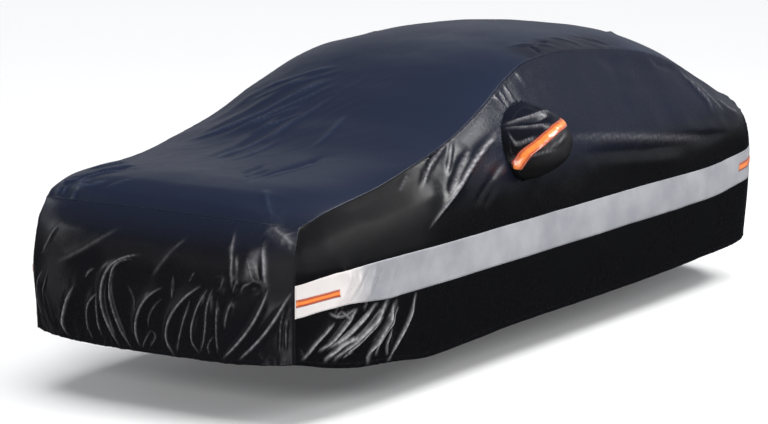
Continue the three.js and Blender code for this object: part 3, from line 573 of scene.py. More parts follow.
# Fine below the strip and above it, where the cloth is gathered and creased.
WALL_ROWS = wall_rows(44, 6, 4, 9, 46)
FRONT_ROWS = wall_rows(48, 10, 7, 13, 44)
REAR_ROWS = wall_rows(40, 6, 4, 8, 28)
STRIP_ROWS = split(range(STRIP_LOW, STRIP_HIGH + 1), [1 / 6, 1 / 5, 1 / 8])
BAR_ROWS = np.linspace(BAR_LOW, BAR_HIGH, 9)


def level_heights(levels, rows):
    """Heights of rows that are counted through the levels, in even parts between two of them."""
    i = np.minimum(rows.astype(int), SEAM - 1)
    return levels[..., i] + (levels[..., i + 1] - levels[..., i]) * (rows - i)


def side_sections(which, along):
    """Columns of the side's table at places along the car, with the right side's seam pulled."""
    s = columns(SIDE, along)
    if which == RIGHT:
        s["seamHeight"] += s["rightRise"]
        s["seamHalf"] += s["rightOut"]
        s["seamBack"] -= s["rightForward"]
    return s


def wall_levels(which, along):
    s, line = side_sections(which, along), columns(STRIP, along)
    return np.stack([s["hemHeight"], line["low"], line["barLow"], line["barHigh"], line["high"],
                     s["seamHeight"]], -1)


def side_place(which, along, height):
    """Bare side wall: at a place along the car, its half width and its lean to the back are smooth
    curves of height through the hem, the widest level, the belt and the seam."""
    s = side_sections(which, along)
    none = np.zeros(np.shape(along))
    at = np.stack([s["hemHeight"], none + WIDE_HEIGHT, s["beltHeight"], s["seamHeight"]], -1)
    half = np.stack([s["hemHalf"], s["wideHalf"], s["beltHalf"], s["seamHalf"]], -1)
    back = np.stack([s["hemBack"], none, s["beltBack"], s["seamBack"]], -1)
    curve = lambda value: monotone(at, value, height[..., None], ROUNDED)[..., 0]
    return np.stack([along + curve(back), which * curve(half), height], -1)


def folded(a, b, seam, folds, creases, highlight_power, soft_share=0.6, crisp_share=1):
    """A panel's lift by its folds and creases, which die out before its seams, and the painted
    highlight along the crests."""
    soft, _ = lifts(a, b, folds)
    crisp, painted_highlight = lifts(a, b, creases, crisp=highlight_power)
    lift = (soft_share * soft * smooth(seam, 0, SOFT_FROM_SEAM)
            + crisp_share * crisp * smooth(seam, 0, CRISP_FROM_SEAM))
    return lift, painted_highlight


def drape_waves(a, b, hem, seam, gathered, seed):
    """Small waves of cloth that hangs: broad and slack all over, pleats that the elastic draws
    along the hem and that die out above it, and puckers along the stitched seams."""
    up = np.maximum(hem, 0)
    slack = 1.5 * ripple(a, b, 190, seed) + 0.7 * ripple(a, b, 75, seed + 1)
    slant = a + 0.5 * up * ripple(a, 0 * a, 300, seed + 5)
    pleats = (6 * crests(slant, up * 0.22, 42, seed + 2) * np.exp(-up / 70)
              + 3 * crests(slant, up * 0.3, 19, seed + 3) * np.exp(-up / 28))
    puckers = 0.7 * crests(a + b, seam, 22, seed + 4) * np.exp(-seam / 12)
    return slack * smooth(seam, 0, 60) + pleats * gathered * smooth(seam, 0, 25) + puckers


def side_cloth(which, along, height, up=0.0):
    """Draped side wall, `up` outside its middle surface: the bare wall, lifted by its folds, its
    waves and its hem's ruffle. Also gives distances to the nearest seam and to the hem, and the
    painted highlight along the crests."""
    levels = wall_levels(which, along)
    place = lambda ahead, above: side_place(which, along + ahead, height + above)
    bare = place(0, 0)
    out = unit(-which * np.cross(place(2, 0) - place(-2, 0), place(0, 2) - place(0, -2)))
    top = side_place(which, along, np.broadcast_to(levels[..., SEAM], along.shape))
    ends = [side_place(which, np.full_like(along, end), height) for end in (FRONT_END, REAR_END)]
    seam = nearest_edge(bare, [top, *ends])
    hem = height - levels[..., HEM]
    x, z = bare[..., 0], bare[..., 2]
    lift, painted_highlight = folded(x, z, seam, *SIDE_FOLDS[which], highlight_power=4.5)
    # Below the strip the painted highlight on the crests is broader, and the cloth crumples at the
    # front corner's top.
    painted_highlight = np.where(z < 560, np.minimum(1.2 * painted_highlight ** 0.5, 1), painted_highlight)
    corner = (1 - smooth(x, -2680, -2560)) * smooth(z, 780, 880) * smooth(seam, 0, 16)
    lift += 3 * corner * crests(x, z, 38, 61)
    gathered = 0.25 + 0.75 * (1 - smooth(x, -2150, -1850)) + 0.5 * smooth(x, 1350, 1600)
    lift += drape_waves(x, z, hem, seam, gathered, 11 + which)
    return bare + out * (lift + up)[..., None] + seam_dip(bare, seam), seam, hem, painted_highlight


def end_wall(end, profile, t, rows):
    """Front or rear wall, t from -1 at the left corner to 1 at the right one: the middle profile,
    which turns into the corners' own profiles with the fourth power of t and dips to their heights
    with its third power."""
    corners = {}
    for which in (LEFT, RIGHT):
        along = np.full(rows.shape, end)
        height = level_heights(wall_levels(which, along[:1])[0], rows)
        corners[which] = side_place(which, along, height)
    corner = np.where((t < 0)[:, None, None], corners[LEFT], corners[RIGHT])
    levels = wall_levels(LEFT, np.array([end]))[0]
    levels[HEM], levels[SEAM] = profile["height"][0], profile["height"][-1]
    middle = level_heights(levels, rows)
    middle_along = monotone(profile["height"], profile["along"], middle, ROUNDED)
    turn = np.abs(t)[:, None] ** CORNER_POWER
    dip = np.abs(t)[:, None] ** END_DIP_POWER
    return np.stack([middle_along + (corner[..., 0] - middle_along) * turn,
                     np.abs(corner[..., 1]) * t[:, None],
                     middle + (corner[..., 2] - middle) * dip], -1)


def end_cloth(end, profile, folds, creases, t, rows, seed):
    """Draped front or rear wall: the bare wall, lifted by its folds, its thin creases, its waves
    and its hem's ruffle, and crumpled near the left corner. Gives the same as side_cloth."""
    bare = end_wall(end, profile, t, rows)
    seam = nearest_edge(bare, [bare[:1], bare[-1:], bare[:, -1:]])
    hem = bare[..., 2] - bare[:, :1, 2]
    y, z = bare[..., 1], bare[..., 2]
    left = -y
    thin = {**creases, "width": 0.8 * creases["width"]}
    lift, painted_highlight = folded(y, z, seam, folds, thin, highlight_power=6)
    # Crumples right under the left corner's top, with a painted highlight on a wedge among them and
    # on one flat facet.
    crumple = crests(y * 0.8 - z * 0.5, z + y * 0.35, 42, 63)
    lift += 9 * crumple * smooth(left, 540, 640) * smooth(z, 860, 930) * smooth(seam, 0, 14)
    painted_wedge_highlight = band(z - 926 + (left - 665) * 0.42, 20) * between(left, 575, 620, 725, 765)
    painted_facet_highlight = band(left - 594 - (z - 800) * 0.15, 22) * between(z, 715, 765, 840, 890)
    # Short crests where the gathers begin, lower down, with a painted highlight on them.
    begin = band(z - 704, 26) * between(left, 400, 480, 640, 720)
    starts = crests(y + 0.3 * z, z + 0.3 * y, 52, 67)
    lift += 6 * begin * starts
    painted_highlight = np.maximum.reduce([
        painted_highlight, 0.5 * painted_wedge_highlight * (0.3 + 0.7 * crumple) * smooth(seam, 0, 8),
        0.5 * begin * starts ** 2.5, 0.4 * painted_facet_highlight])
    lift += drape_waves(y, z, hem, seam, 1.0, seed)
    out = outward(bare, end == FRONT_END)
    return bare + out * lift[..., None] + seam_dip(bare, seam), seam, hem, painted_highlight


def top_cloth(along, t):
    """Top panel: ribs from seam to seam. A rib's places along the car and its heights go from those
    of the middle line to those of the seams with powers of its distance from the middle. Gives the
    same as side_cloth, with the hem far off."""
    ribs = {name: column[:, None] for name, column in columns(RIBS, along).items()}
    seams = {which: side_place(which, along, wall_levels(which, along)[..., SEAM])
             for which in (LEFT, RIGHT)}
    side = np.where((t < 0)[None, :, None], seams[LEFT][:, None], seams[RIGHT][:, None])
    near_end = np.minimum(along - FRONT_END, REAR_END - along)
    power = CORNER_POWER + (BEND_POWER - CORNER_POWER) * smooth(near_end, 0, 300)
    far = np.abs(t)[None, :]
    reach = lambda middle, end, power: middle + (end - middle) * far ** power
    bare = np.stack([reach(ribs["middleAlong"], side[..., 0], power[:, None]),
                     np.abs(side[..., 1]) * t[None, :],
                     reach(ribs["middleHeight"], side[..., 2], ribs["arch"])], -1)
    seam = nearest_edge(bare, [bare[:1], bare[-1:], bare[:, :1], bare[:, -1:]])
    x, y = bare[..., 0], bare[..., 1]
    lift, painted_highlight = folded(x, y, seam, TOP_FOLDS, TOP_CREASES, 4, 0.75, 1.6)
    # The cloth crumples at the bonnet's two corners, less at the left one, with a painted highlight
    # on the crumples.
    corners = (1 - smooth(x, -2640, -2450)) * smooth(np.abs(y), 420, 600) * smooth(seam, 0, 16)
    crumple = corners * (0.4 + 0.6 * (y > 0)) * crests(x, y, 44, 65)
    lift += 9 * crumple
    painted_highlight = np.maximum(painted_highlight, 0.7 * crumple ** 2)
    lift += 0.6 * drape_waves(x, y, np.full(x.shape, FAR_OFF), seam, 0.0, 31)
    # Slack cloth crumples beside the roof's left seam, and runs in fine lines down the windscreen.
    beside = (y < 0) * smooth(np.abs(y), 400, 470) * between(x, -420, -250, 500, 900)
    lift += 2.6 * beside * crests(x * 0.7 + y * 0.5, y * 0.3, 40, 33) * smooth(seam, 0, 20)
    turned = y + 0.45 * (x + 1600)
    fine = between(x, -2450, -2000, -1000, -800) * smooth(y, -350, 0)
    lift += 1.5 * fine * crests(x * 0.16 - turned * 0.05, turned, 30, 35)
    points = bare + outward(bare, False) * lift[..., None] + seam_dip(bare, seam)
    return points, seam, np.full(x.shape, FAR_OFF), painted_highlight


# ---- Meshes --------------------------------------------------------------------------------------


def put(name, data, place=(0, 0, 0), aim=None):
    """An object in the scene, which looks from its place to another one if that is given."""
    obj = bpy.data.objects.new(name, data)
    bpy.context.scene.collection.objects.link(obj)
    obj.location = place
    if aim:
        obj.rotation_euler = (Vector(aim) - Vector(place)).to_track_quat("-Z", "Y").to_euler()
    return obj


def arc_map(points):
    """Lengths along both ways of a grid in metres, for patterns that follow the cloth."""
    def arc(axis):
        steps = np.linalg.norm(np.diff(points, axis=axis), axis=-1) * 0.001
        start = np.zeros_like(np.take(steps, [0], axis))
        return np.concatenate([start, np.cumsum(steps, axis)], axis)
    return np.stack([arc(0), arc(1)], -1)


def piece(name, node, points, flip, finish, thick, values, keep=None):
    """A sheet on a grid of points: faces between neighbours, those of keep only, then a thickness.
    The values are its own numbers at each point."""
    n, m = points.shape[:2]
    corner = (np.arange(n - 1)[:, None] * m + np.arange(m - 1)[None, :]).ravel()
    faces = np.stack([corner, corner + m, corner + m + 1, corner + 1], -1)
    if flip:
        faces = faces[:, ::-1]
    if keep is not None:
        faces = faces[keep.ravel()]
    used, faces = np.unique(faces, return_inverse=True)
    faces = faces.reshape(-1, 4)
    places = points * 0.001 + np.array([0, 0, GROUND])
    mesh = bpy.data.meshes.new(name)
    mesh.from_pydata(places.reshape(-1, 3)[used], [], faces)
    mesh.shade_smooth()
    cloth_map = mesh.uv_layers.new(name="cloth")
    cloth_map.data.foreach_set("uv", arc_map(points).reshape(-1, 2)[used][faces.ravel()].ravel())
    for key, value in values.items():
        layer = mesh.attributes.new(key, "FLOAT", "POINT")
        layer.data.foreach_set("value", np.broadcast_to(value, (n, m)).ravel()[used].astype(float))
    mesh.materials.append(finish)
    obj = put(name, mesh)
    solid = obj.modifiers.new("thickness", "SOLIDIFY")
    solid.thickness, solid.offset = thick, 0
    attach(obj, "root")
    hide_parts(node)


# ---- Finishes ------------------------------------------------------------------------------------


class Number:
    """A number in a tree of nodes. An expression on it adds the nodes that work it out."""

    def __init__(self, tree, link):
        self.tree, self.link = tree, link

    def math(self, operation, *numbers):
        return self.tree.add("ShaderNodeMath", {"operation": operation}, numbers)

    def __add__(self, other):
        return self.math("ADD", self, other)

    __radd__ = __add__

    def __sub__(self, other):
        return self.math("SUBTRACT", self, other)

    def __rsub__(self, other):
        return self.math("SUBTRACT", other, self)

    def __mul__(self, other):
        return self.math("MULTIPLY", self, other)

    __rmul__ = __mul__

    def __truediv__(self, other):
        return self.math("DIVIDE", self, other)

    def sine(self):
        return self.math("SINE", self)

    def size(self):
        return self.math("ABSOLUTE", self)

    def fraction(self):
        return self.math("FRACT", self)

    def below(self, limit):
        """1 below the limit, 0 above it."""
        return self.math("LESS_THAN", self, limit)

    def step(self, low, high):
        """0 below low, 1 above high, soft between them."""
        return self.tree.add("ShaderNodeMapRange", {"interpolation_type": "SMOOTHSTEP"},
                             {"Value": self, "From Min": low, "From Max": high})


class Nodes:
    """The nodes of a material or of the room."""

    def __init__(self, owner):
        owner.use_nodes = True
        self.nodes, self.links = owner.node_tree.nodes, owner.node_tree.links

    def add(self, kind, settings=(), inputs=(), out=0):
        """A node of a kind: its settings first, then the values or links of its sockets."""
        node = self.nodes.new(kind)
        for key, value in dict(settings).items():
            setattr(node, key, value)
        self.set(node, inputs if isinstance(inputs, dict) else dict(enumerate(inputs)))
        return Number(self, node.outputs[out])

    def set(self, node, inputs):
        for key, value in inputs.items():
            if isinstance(value, Number):
                self.links.new(value.link, node.inputs[key])
            else:
                node.inputs[key].default_value = value


class Finish(Nodes):
    """A material on a Principled shader, whose constants are set on its own sockets."""

    def __init__(self, name, **constants):
        self.material = bpy.data.materials.new(name)
        super().__init__(self.material)
        self.feed(**constants)

    def feed(self, **inputs):
        """Sets or links sockets of the shader, with _ for the spaces in their names."""
        shader = next(node for node in self.nodes if node.type == "BSDF_PRINCIPLED")
        self.set(shader, {socket.replace("_", " "): value for socket, value in inputs.items()})
        return self.material

    def value(self, name):
        """A piece's own value at each point."""
        return self.add("ShaderNodeAttribute", {"attribute_name": name}, out="Fac")

    @cached_property
    def place(self):
        """Places in the piece's own space, in metres."""
        return self.add("ShaderNodeTexCoord", out="Object")

    @cached_property
    def cloth_map(self):
        """Lengths in metres along and up the cloth."""
        lengths = self.add("ShaderNodeUVMap", {"uv_map": "cloth"})
        parts = self.add("ShaderNodeSeparateXYZ", {}, [lengths]).link.node
        return Number(self, parts.outputs[0]), Number(self, parts.outputs[1])

    def noise(self, scale, detail=2.0, rough=0.5):
        """Random patches, about as many to a metre as the scale."""
        return self.add("ShaderNodeTexNoise", {}, {
            "Vector": self.place, "Scale": scale, "Detail": detail, "Roughness": rough})

    def mix(self, share, first, second):
        """A colour between two colours."""
        inputs = {0: share, 6: first, 7: second}
        return self.add("ShaderNodeMix", {"data_type": "RGBA"}, inputs, out=2)

    def bump(self, height, depth, strength, under=None):
        """Relief of a depth in metres, on top of another one if that is given."""
        inputs = {"Height": height, "Distance": depth, "Strength": strength}
        return self.add("ShaderNodeBump", {}, {**inputs, "Normal": under} if under else inputs)

    def thread(self, gap, at):
        """Thread of a seam: a line of dashes at a distance from an edge."""
        u, v = self.cloth_map
        line = 1 - (gap - at).size().step(0.0005, 0.0011)
        return line * ((u + v) / STITCH).fraction().below(0.68)

    def weave(self):
        """Over-and-under threads of a plain weave: the product of two sines of that pitch."""
        u, v = self.cloth_map
        turn = np.pi / THREAD
        return (u * turn).sine() * (v * turn).sine()


def rgb(red, green, blue):
    """A colour of linear light from its 0 to 255 screen values."""
    c = np.array([red, green, blue]) / 255
    return (*np.where(c <= 0.04045, c / 12.92, ((c + 0.055) / 1.055) ** 2.4), 1.0)


def cloth_finish(name, light, dark, highlight_color, roughness, gloss):
    """Coated cloth, semi-gloss: a fine weave under the coat, small crinkles, stitched seams and
    hems, colour painted from light to dark by the piece's painted shade, and a painted highlight
    in a lighter grey along the crests."""
    f = Finish(name, Specular_IOR_Level=gloss)
    painted_shade, seam, hem, painted_crest_highlight, dull = (f.value(n) for n in ("painted_shade", "seam", "hem", "painted_crest_highlight", "dull"))
    patch = f.noise(2.3, 3.0)
    fine = f.noise(38.0, 4.0, 0.6)
    crinkle = f.noise(26.0, 4.0, 0.6)
    thread = f.thread(seam, 0.007) + f.thread(hem, 0.022)
    # Painted highlight on the crests, in a lighter grey, broken up at random; it is mixed in below.
    painted_highlight = painted_crest_highlight * (0.5 + fine.step(0.36, 0.62) * 0.5)
    # Painted shade, from the light colour to the dark one, with a random tone from the patches.
    color = f.mix(painted_shade + (patch - 0.5) * 0.2, light, dark)
    color = f.mix(painted_highlight, color, highlight_color)
    color = f.mix(thread * 0.45, color, rgb(40, 41, 50))
    rough = roughness + dull * 0.36 + (patch - 0.5) * 0.12 + (fine - 0.5) * 0.1 - painted_crest_highlight * 0.05
    threads = f.bump(f.weave(), 0.0001, 0.3)
    crinkles = f.bump(crinkle * patch, 0.0022, 0.4, threads)
    return f.feed(Base_Color=color, Roughness=rough, Normal=f.bump(thread, 0.0006, 0.8, crinkles))


def silver_finish():
    """Reflective strip: silver-grey cloth under a grain of tiny glass beads, a little rubbed, sewn
    along both edges, and painted paler towards its front end as a painted glare."""
    f = Finish("silver strip cloth", Specular_IOR_Level=0.5, Sheen_Weight=0.1,
               Sheen_Roughness=0.3, Metallic=0.15)
    patch = f.noise(5.0, 4.0, 0.6)
    beads = f.noise(900.0, 1.0)
    crinkle = f.noise(22.0, 4.0, 0.6)
    thread = f.thread(f.value("edge"), 0.004)
    color = f.mix(patch.step(0.2, 0.9), rgb(134, 135, 141), rgb(160, 160, 164))
    # Painted glare: the strip is painted paler towards its front end.
    color = f.mix(f.value("painted_glare"), color, rgb(210, 204, 202))
    color = f.mix(thread * 0.7, color, rgb(120, 122, 128))
    grain = f.bump(beads, 0.0002, 0.4)
    creased = f.bump(crinkle, 0.004, 0.35, grain)
    return f.feed(Base_Color=color, Roughness=0.34 + patch * 0.2,
                  Normal=f.bump(thread, 0.0005, 0.8, creased))


def orange_finish():
    """Orange tape, glossy: a painted highlight along its middle, and painted shade, a deeper
    orange, towards its sewn edges.
    """
    f = Finish("orange tape cloth", Specular_IOR_Level=0.5, Coat_Weight=0.5, Coat_Roughness=0.16,
               Sheen_Weight=0.1)
    patch = f.noise(60.0, 3.0, 0.6)
    ribs = f.noise(140.0, 2.0)
    thread = f.thread(f.value("edge"), 0.004)
    # Painted highlight along the middle and painted shade towards the edges.
    painted_crown_light = (f.value("middle") + (patch - 0.5) * 0.3).step(0.4, 1.05)
    color = f.mix(painted_crown_light, rgb(140, 28, 8), rgb(226, 122, 44))
    color = f.mix(thread * 0.6, color, rgb(250, 190, 140))
    pressed = f.bump(f.weave(), 0.00015, 0.4)
    creased = f.bump(ribs, 0.0012, 0.3, pressed)
    return f.feed(Base_Color=color, Roughness=0.24 + patch * 0.2,
                  Normal=f.bump(thread, 0.0005, 0.8, creased))


NAVY, BLACK = rgb(27, 34, 52), rgb(11, 11, 13)
# Each cloth: the light and dark ends of its painted shade, the lighter grey of the painted
# highlight on its crests, roughness, gloss.
top_finish = cloth_finish("navy cover cloth", NAVY, BLACK, rgb(66, 76, 100), 0.33, 0.3)
end_finish = cloth_finish("dark end cloth", NAVY, rgb(17, 16, 19), rgb(132, 130, 134), 0.27, 0.2)
side_finish = cloth_finish("dark cover cloth", rgb(20, 24, 38), BLACK, rgb(150, 148, 152),
                           0.27, 0.2)
silver = silver_finish()
orange = orange_finish()

# ---- Mirror pockets ------------------------------------------------------------------------------


def oval(which, u, v):
    """A place in a pocket's oval, from a place in a square whose lines bend into the oval."""
    p = u * np.sqrt(1 - v * v / 2)
    q = v * np.sqrt(1 - u * u / 2)
    return (POCKET_ALONG + TILT_COS * p * POCKET_LONG - TILT_SIN * q * POCKET_SHORT,
            POCKET_HEIGHT[which] + TILT_SIN * p * POCKET_LONG + TILT_COS * q * POCKET_SHORT,
            np.minimum(np.hypot(p, q), 1))


def pocket_radius(which, along, height):
    """How far out a place lies in a pocket's oval, 1 on its rim."""
    a, z = along - POCKET_ALONG, height - POCKET_HEIGHT[which]
    return np.hypot((TILT_COS * a + TILT_SIN * z) / POCKET_LONG,
                    (TILT_COS * z - TILT_SIN * a) / POCKET_SHORT)


def oval_square(p, q):
    """The place in the square for a place (p, q) in the oval: the other way round than oval."""
    def root(a, b):
        return np.sqrt(np.maximum(2 + a * a - b * b + 2 * np.sqrt(2) * a, 0))
    return (root(p, q) - root(-p, q)) / 2, (root(q, p) - root(-q, p)) / 2


def pocket_dome(which, u, line):
    """A pocket's dome over the draped side, on row lines that arch in its square: it stands out by
    its depth times (1 - r^2.4)^0.6, and more at its back."""
    v = line + LINE_ARCH * (1 - line ** 2) * (1 - u ** 4)
    along, height, radius = oval(which, u, v)
    points, *_ = side_cloth(which, along, height)
    depth = POCKET_DEPTH[which] * (1 - radius ** 2.4) ** 0.6 * (1 + POCKET_BULGE * u)
    points[..., 1] += which * depth
    return points, radius


def pocket_line(u, v):
    """The row line of a pocket's dome that passes a place in the square, the lesser root of its
    quadratic: v = line + h (1 - line^2), where h is the arch of the lines at u."""
    h = LINE_ARCH * (1 - u ** 4)
    root = np.sqrt(np.maximum(1 - 4 * h * (v - h), 0))
    return np.where(h > 1e-4, (1 - root) / (2 * np.maximum(h, 1e-4)), v)


def pocket_cloth(which, u, line):
    """A pocket's dome with its folds, creases and small waves, which die out at its rim. Also gives
    how far out its places lie, and the painted highlight along the crests."""
    points, radius = pocket_dome(which, u, line)
    soft, _ = lifts(u * 100, line * 100, POCKET_FOLDS)
    crisp, painted_highlight = lifts(u * 100, line * 100, POCKET_CREASES, crisp=3)
    lift = soft + 1.6 * crisp + 1.2 * ripple(u * 250, line * 150, 34, 7)
    lift = lift * smooth(1 - radius, 0, 0.1)
    return points + outward(points, which == RIGHT) * lift[..., None], radius, painted_highlight


def tape_path(run, off):
    """Places in the oval at shares of the tape's length, off its middle by a length in the oval."""
    def at(share):
        return np.stack([monotone(TAPE_PATH["share"], TAPE_PATH["long"], share) * POCKET_LONG,
                         monotone(TAPE_PATH["share"], TAPE_PATH["short"], share) * POCKET_SHORT],
                        -1)
    ahead = unit(at(np.minimum(run + 0.01, 1)) - at(np.maximum(run - 0.01, 0)))
    place = at(run) + np.stack([-ahead[..., 1], ahead[..., 0]], -1) * off[..., None]
    p, q = place[..., 0] / POCKET_LONG, place[..., 1] / POCKET_SHORT
    shrink = np.minimum(1, 0.985 / np.maximum(np.hypot(p, q), 1e-6))
    return p * shrink, q * shrink


# ---- Pieces --------------------------------------------------------------------------------------


def sewn_band(which, rows, start, end, up, crown):
    """A band on a side panel, on rows of it and between two places along the car: `up` outside the
    panel's middle, and more by its crown along its own middle. Also gives distances to its edges,
    and to its long edges alone."""
    stations = np.unique([start, *ALONG[(ALONG >= start) & (ALONG <= end)], end])
    height = level_heights(wall_levels(which, stations), rows)
    along = np.broadcast_to(stations[:, None], height.shape)
    gap = np.minimum(height - height[:, :1], height[:, -1:] - height)
    rise = crown * smooth(gap / np.maximum(gap.max(1, keepdims=True), 1e-6), 0, 0.5)
    points, *_ = side_cloth(which, along, height, up)
    points = points + outward(points, which == RIGHT) * rise[..., None]
    return points, np.minimum.reduce([gap, along - start, end - along]), gap


def panel(name, cloth, flip, finish, painted_shade, dull, keep=None):
    """A piece of coated cloth, with its painted shade (how dark it is painted), the painted
    highlight on its crests, and how dull its coat is.
    """
    points, seam, hem, painted_highlight = cloth
    piece(name + "_cloth", name, points, flip, finish, CLOTH, {
        "painted_shade": painted_shade, "seam": seam * 0.001, "hem": hem * 0.001, "painted_crest_highlight": painted_highlight,
        "dull": dull}, keep)


# The top is navy, with painted shade: darker where it turns down at the ends and beside the roof's
# side seams.
cloth = top_cloth(ALONG, split([-1, 1], 2 / 108, (0.005, 0.011, 0.02)))
x, y, z = np.moveaxis(cloth[0], -1, 0)
beside = smooth(np.abs(y), 410, 520) * between(x, -450, -200, 400, 900)
panel("top_panel", cloth, False, top_finish,
      1 - smooth(z, 800, 1090) + 0.65 * beside, 0)

for name, flip, cloth in (
        ("front_panel", True, end_cloth(
            FRONT_END, NOSE, FRONT_FOLDS, FRONT_CREASES, split([-1, 1], 2 / 340, (0.003,)),
            FRONT_ROWS, 41)),
        ("rear_panel", False, end_cloth(
            REAR_END, TAIL, REAR_FOLDS, REAR_CREASES, split([-1, 1], 2 / 200, (0.004, 0.009)),
            REAR_ROWS, 51))):
    # Painted shade: near-black below and navy where the wall turns over into the top; the coat is
    # dull at the front's left corner.
    x, y, z = np.moveaxis(cloth[0], -1, 0)
    dull = smooth(-y, 640, 690) * between(z, 590, 660, 850, 900) * (x < 0)
    panel(name, cloth, flip, end_finish, 1 - smooth(z, 800, 1090), dull)


def side_pieces(which, hand):
    """A side's panel, mirror pocket and tape, silver strip and two orange bars."""
    flip = which == RIGHT
    # The hole behind the pocket: grid points near its edge move onto it, and those inside go.
    height = level_heights(wall_levels(which, ALONG), WALL_ROWS)
    along = np.broadcast_to(ALONG[:, None], height.shape)
    radius = pocket_radius(which, along, height)
    rim = np.abs(radius - HOLE) < HOLE_REACH
    pull = np.where(rim, HOLE / np.maximum(radius, 0.1), 1)
    along = POCKET_ALONG + (along - POCKET_ALONG) * pull
    height = POCKET_HEIGHT[which] + (height - POCKET_HEIGHT[which]) * pull
    radius = np.where(rim, HOLE, radius)
    middle = (radius[:-1, :-1] + radius[1:, :-1] + radius[1:, 1:] + radius[:-1, 1:]) / 4
    cloth = side_cloth(which, along, height)
    # Painted shade: near-black, and lighter navy only high on the roof's side; the coat is dull
    # over the front wheel, above the strip.
    x, _, z = np.moveaxis(cloth[0], -1, 0)
    panel(f"side_panel_{hand}", cloth, flip, side_finish,
          1 - 0.85 * smooth(z, 860, 1120) * smooth(x, -1900, -900),
          (1 - smooth(x, -1950, -1620)) * smooth(z, 740, 800), middle > HOLE - 0.0001)

    square = [np.sin(np.linspace(-1, 1, count) * np.pi / 2) for count in (80, 64)]
    u, line = np.meshgrid(*square, indexing="ij")
    points, radius, painted_highlight = pocket_cloth(which, u, line)
    rim_gap = (1 - radius) * POCKET_SHORT + 1
    # Painted shade on the pocket: lighter towards its top, which faces up.
    panel(f"mirror_pocket_{hand}", (points, rim_gap, FAR_OFF, painted_highlight), flip, side_finish,
          1 - 0.5 * smooth(points[..., 2], 1120, 1260),
          1 - smooth(line, -0.35, 0.15))

    # The tape puffs up along its middle and is creased across; its middle value also paints a
    # highlight there and shade towards its edges.
    run, across = np.meshgrid(np.linspace(0, 1, 110), np.linspace(-1, 1, 17), indexing="ij")
    u, v = oval_square(*tape_path(run, across * TAPE_HALF))
    points, *_ = pocket_cloth(which, u, pocket_line(u, v))
    middle = 1 - across ** 2
    puff = 2.5 + 4.5 * middle + 1.8 * crests(run * 560, across * 26, 34, 9) * middle
    points = points + outward(points, flip) * puff[..., None]
    piece(f"orange_trim_{hand}_tape", f"orange_trim_{hand}", points, flip, orange,
          TAPE, {"middle": middle, "edge": (1 - np.abs(across)) * 0.02})

    # The silver strip lies on the side panel from seam to seam, and the bars on the strip.
    points, edge, _ = sewn_band(which, STRIP_ROWS, FRONT_END + 4, REAR_END - 4, 2.4, 0.5)
    # The strip's front end is painted paler, as a painted glare.
    piece(f"silver_strip_{hand}_cloth", f"silver_strip_{hand}", points, flip, silver,
          TAPE,
          {"edge": edge * 0.001, "painted_glare": 1 - smooth(points[..., 0], -2520, -2250)})
    for end, start, stop in (("front", FRONT_END + 8, FRONT_END + 234),
                             ("rear", REAR_END - 240, REAR_END - 8)):
        points, edge, gap = sewn_band(which, BAR_ROWS, start, stop, 3.9, 1.6)
        name = f"orange_bar_{end}_{hand}"
        # A bar's middle value paints a highlight along its middle and shade towards its edges.
        piece(name + "_tape", name, points, flip, orange, TAPE,
              {"middle": smooth(gap, 2, 14), "edge": edge * 0.001})


side_pieces(LEFT, "left")
side_pieces(RIGHT, "right")

# ---- Studio --------------------------------------------------------------------------------------

scene = bpy.context.scene
scene.view_settings.view_transform = "Standard"
view = bpy.data.cameras.new("camera")
view.lens, view.sensor_width, view.clip_end = 163.67, 36, 200
scene.camera = put("camera", view, (-15.890, -9.889, 2.386), (-0.385, 0.26, -0.9785))

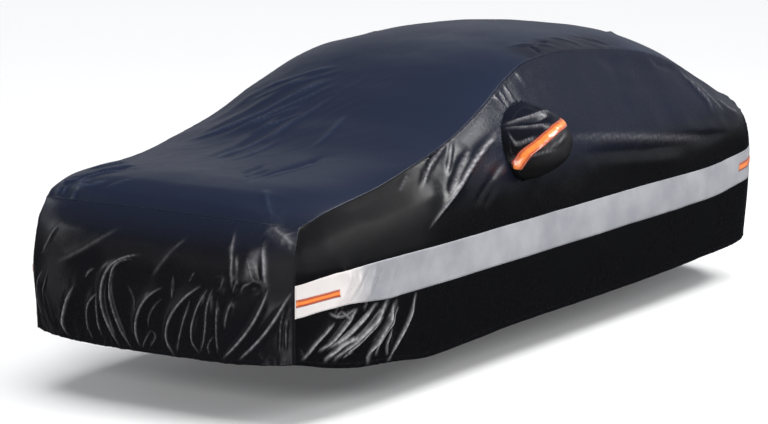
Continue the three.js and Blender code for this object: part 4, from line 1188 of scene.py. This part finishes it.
ground = bpy.data.meshes.new("floor")
ground.from_pydata([(x * 60, y * 60, GROUND) for x, y in ((-1, -1), (1, -1), (1, 1), (-1, 1))], [],
                   [(0, 1, 2, 3)])
ground.materials.append(Finish(
    "floor", Roughness=0.7, Specular_IOR_Level=0.2, Base_Color=(0.9, 0.9, 0.9, 1),
    Emission_Color=(1, 1, 1, 1), Emission_Strength=0.09).material)
floor = put("floor", ground)
floor.visible_glossy = False  # the glossy cloth mirrors a dark room below, not the pale floor

# Lights: place, aim, width and height in metres, watts.
for name, place, aim, width, height, power in (
        ("back key", (3.0, -4.6, 4.3), (-1.2, -0.8, -0.5), 2.6, 2.0, 380),
        ("left key", (-0.9, -6.9, 2.4), (-2.3, -0.9, -1.0), 2.2, 2.4, 205),
        ("front key", (-8.8, -2.8, 1.5), (-2.8, -0.3, -1.0), 1.6, 1.2, 180),
        ("right key", (-4.0, 6.5, 1.2), (-2.8, 0, -1.0), 1.2, 2.6, 30)):
    light = bpy.data.lights.new(name, "AREA")
    light.shape, light.size, light.size_y, light.energy = "RECTANGLE", width, height, power
    put(name, light, place, aim)

light = bpy.data.lights.new("sky", "SUN")
light.energy, light.angle = 2.6, np.radians(50)
put("sky", light, aim=(0.12, 0.1, -1)).visible_glossy = False

scene.world = bpy.data.worlds.new("studio")
room = Nodes(scene.world)
direction = room.add("ShaderNodeTexCoord", out="Generated")
height = room.add("ShaderNodeSeparateXYZ", {}, [direction], out=2)
glow = room.add("ShaderNodeValToRGB", {}, [height])
ramp = glow.link.node.color_ramp
ramp.interpolation = "EASE"
# The room: dark below, bright low down all round, and dimmer towards the sky light overhead.
for place, level in ((0.0, 0.03), (0.03, 0.36), (0.3, 0.33), (0.6, 0.12)):
    stop = ramp.elements.new(place) if place else ramp.elements[0]
    stop.color = (0.95 * level, 0.98 * level, 1.06 * level, 1)
ramp.elements[-1].color = (0.11, 0.115, 0.125, 1)
# Two low white screens in front of the car, that show along the crests of its lower folds.
for towards, level in (((-0.88, -0.38, -0.22), 5.0), ((-0.3, 0.92, -0.22), 0.5)):
    facing = room.add("ShaderNodeVectorMath", {"operation": "DOT_PRODUCT"},
                      [direction, Vector(towards).normalized()], out="Value")
    glow = room.add("ShaderNodeVectorMath", {"operation": "ADD"},
                    [glow, facing.step(0.965, 0.99) * level])
room.set(room.nodes["Background"], {"Color": glow})
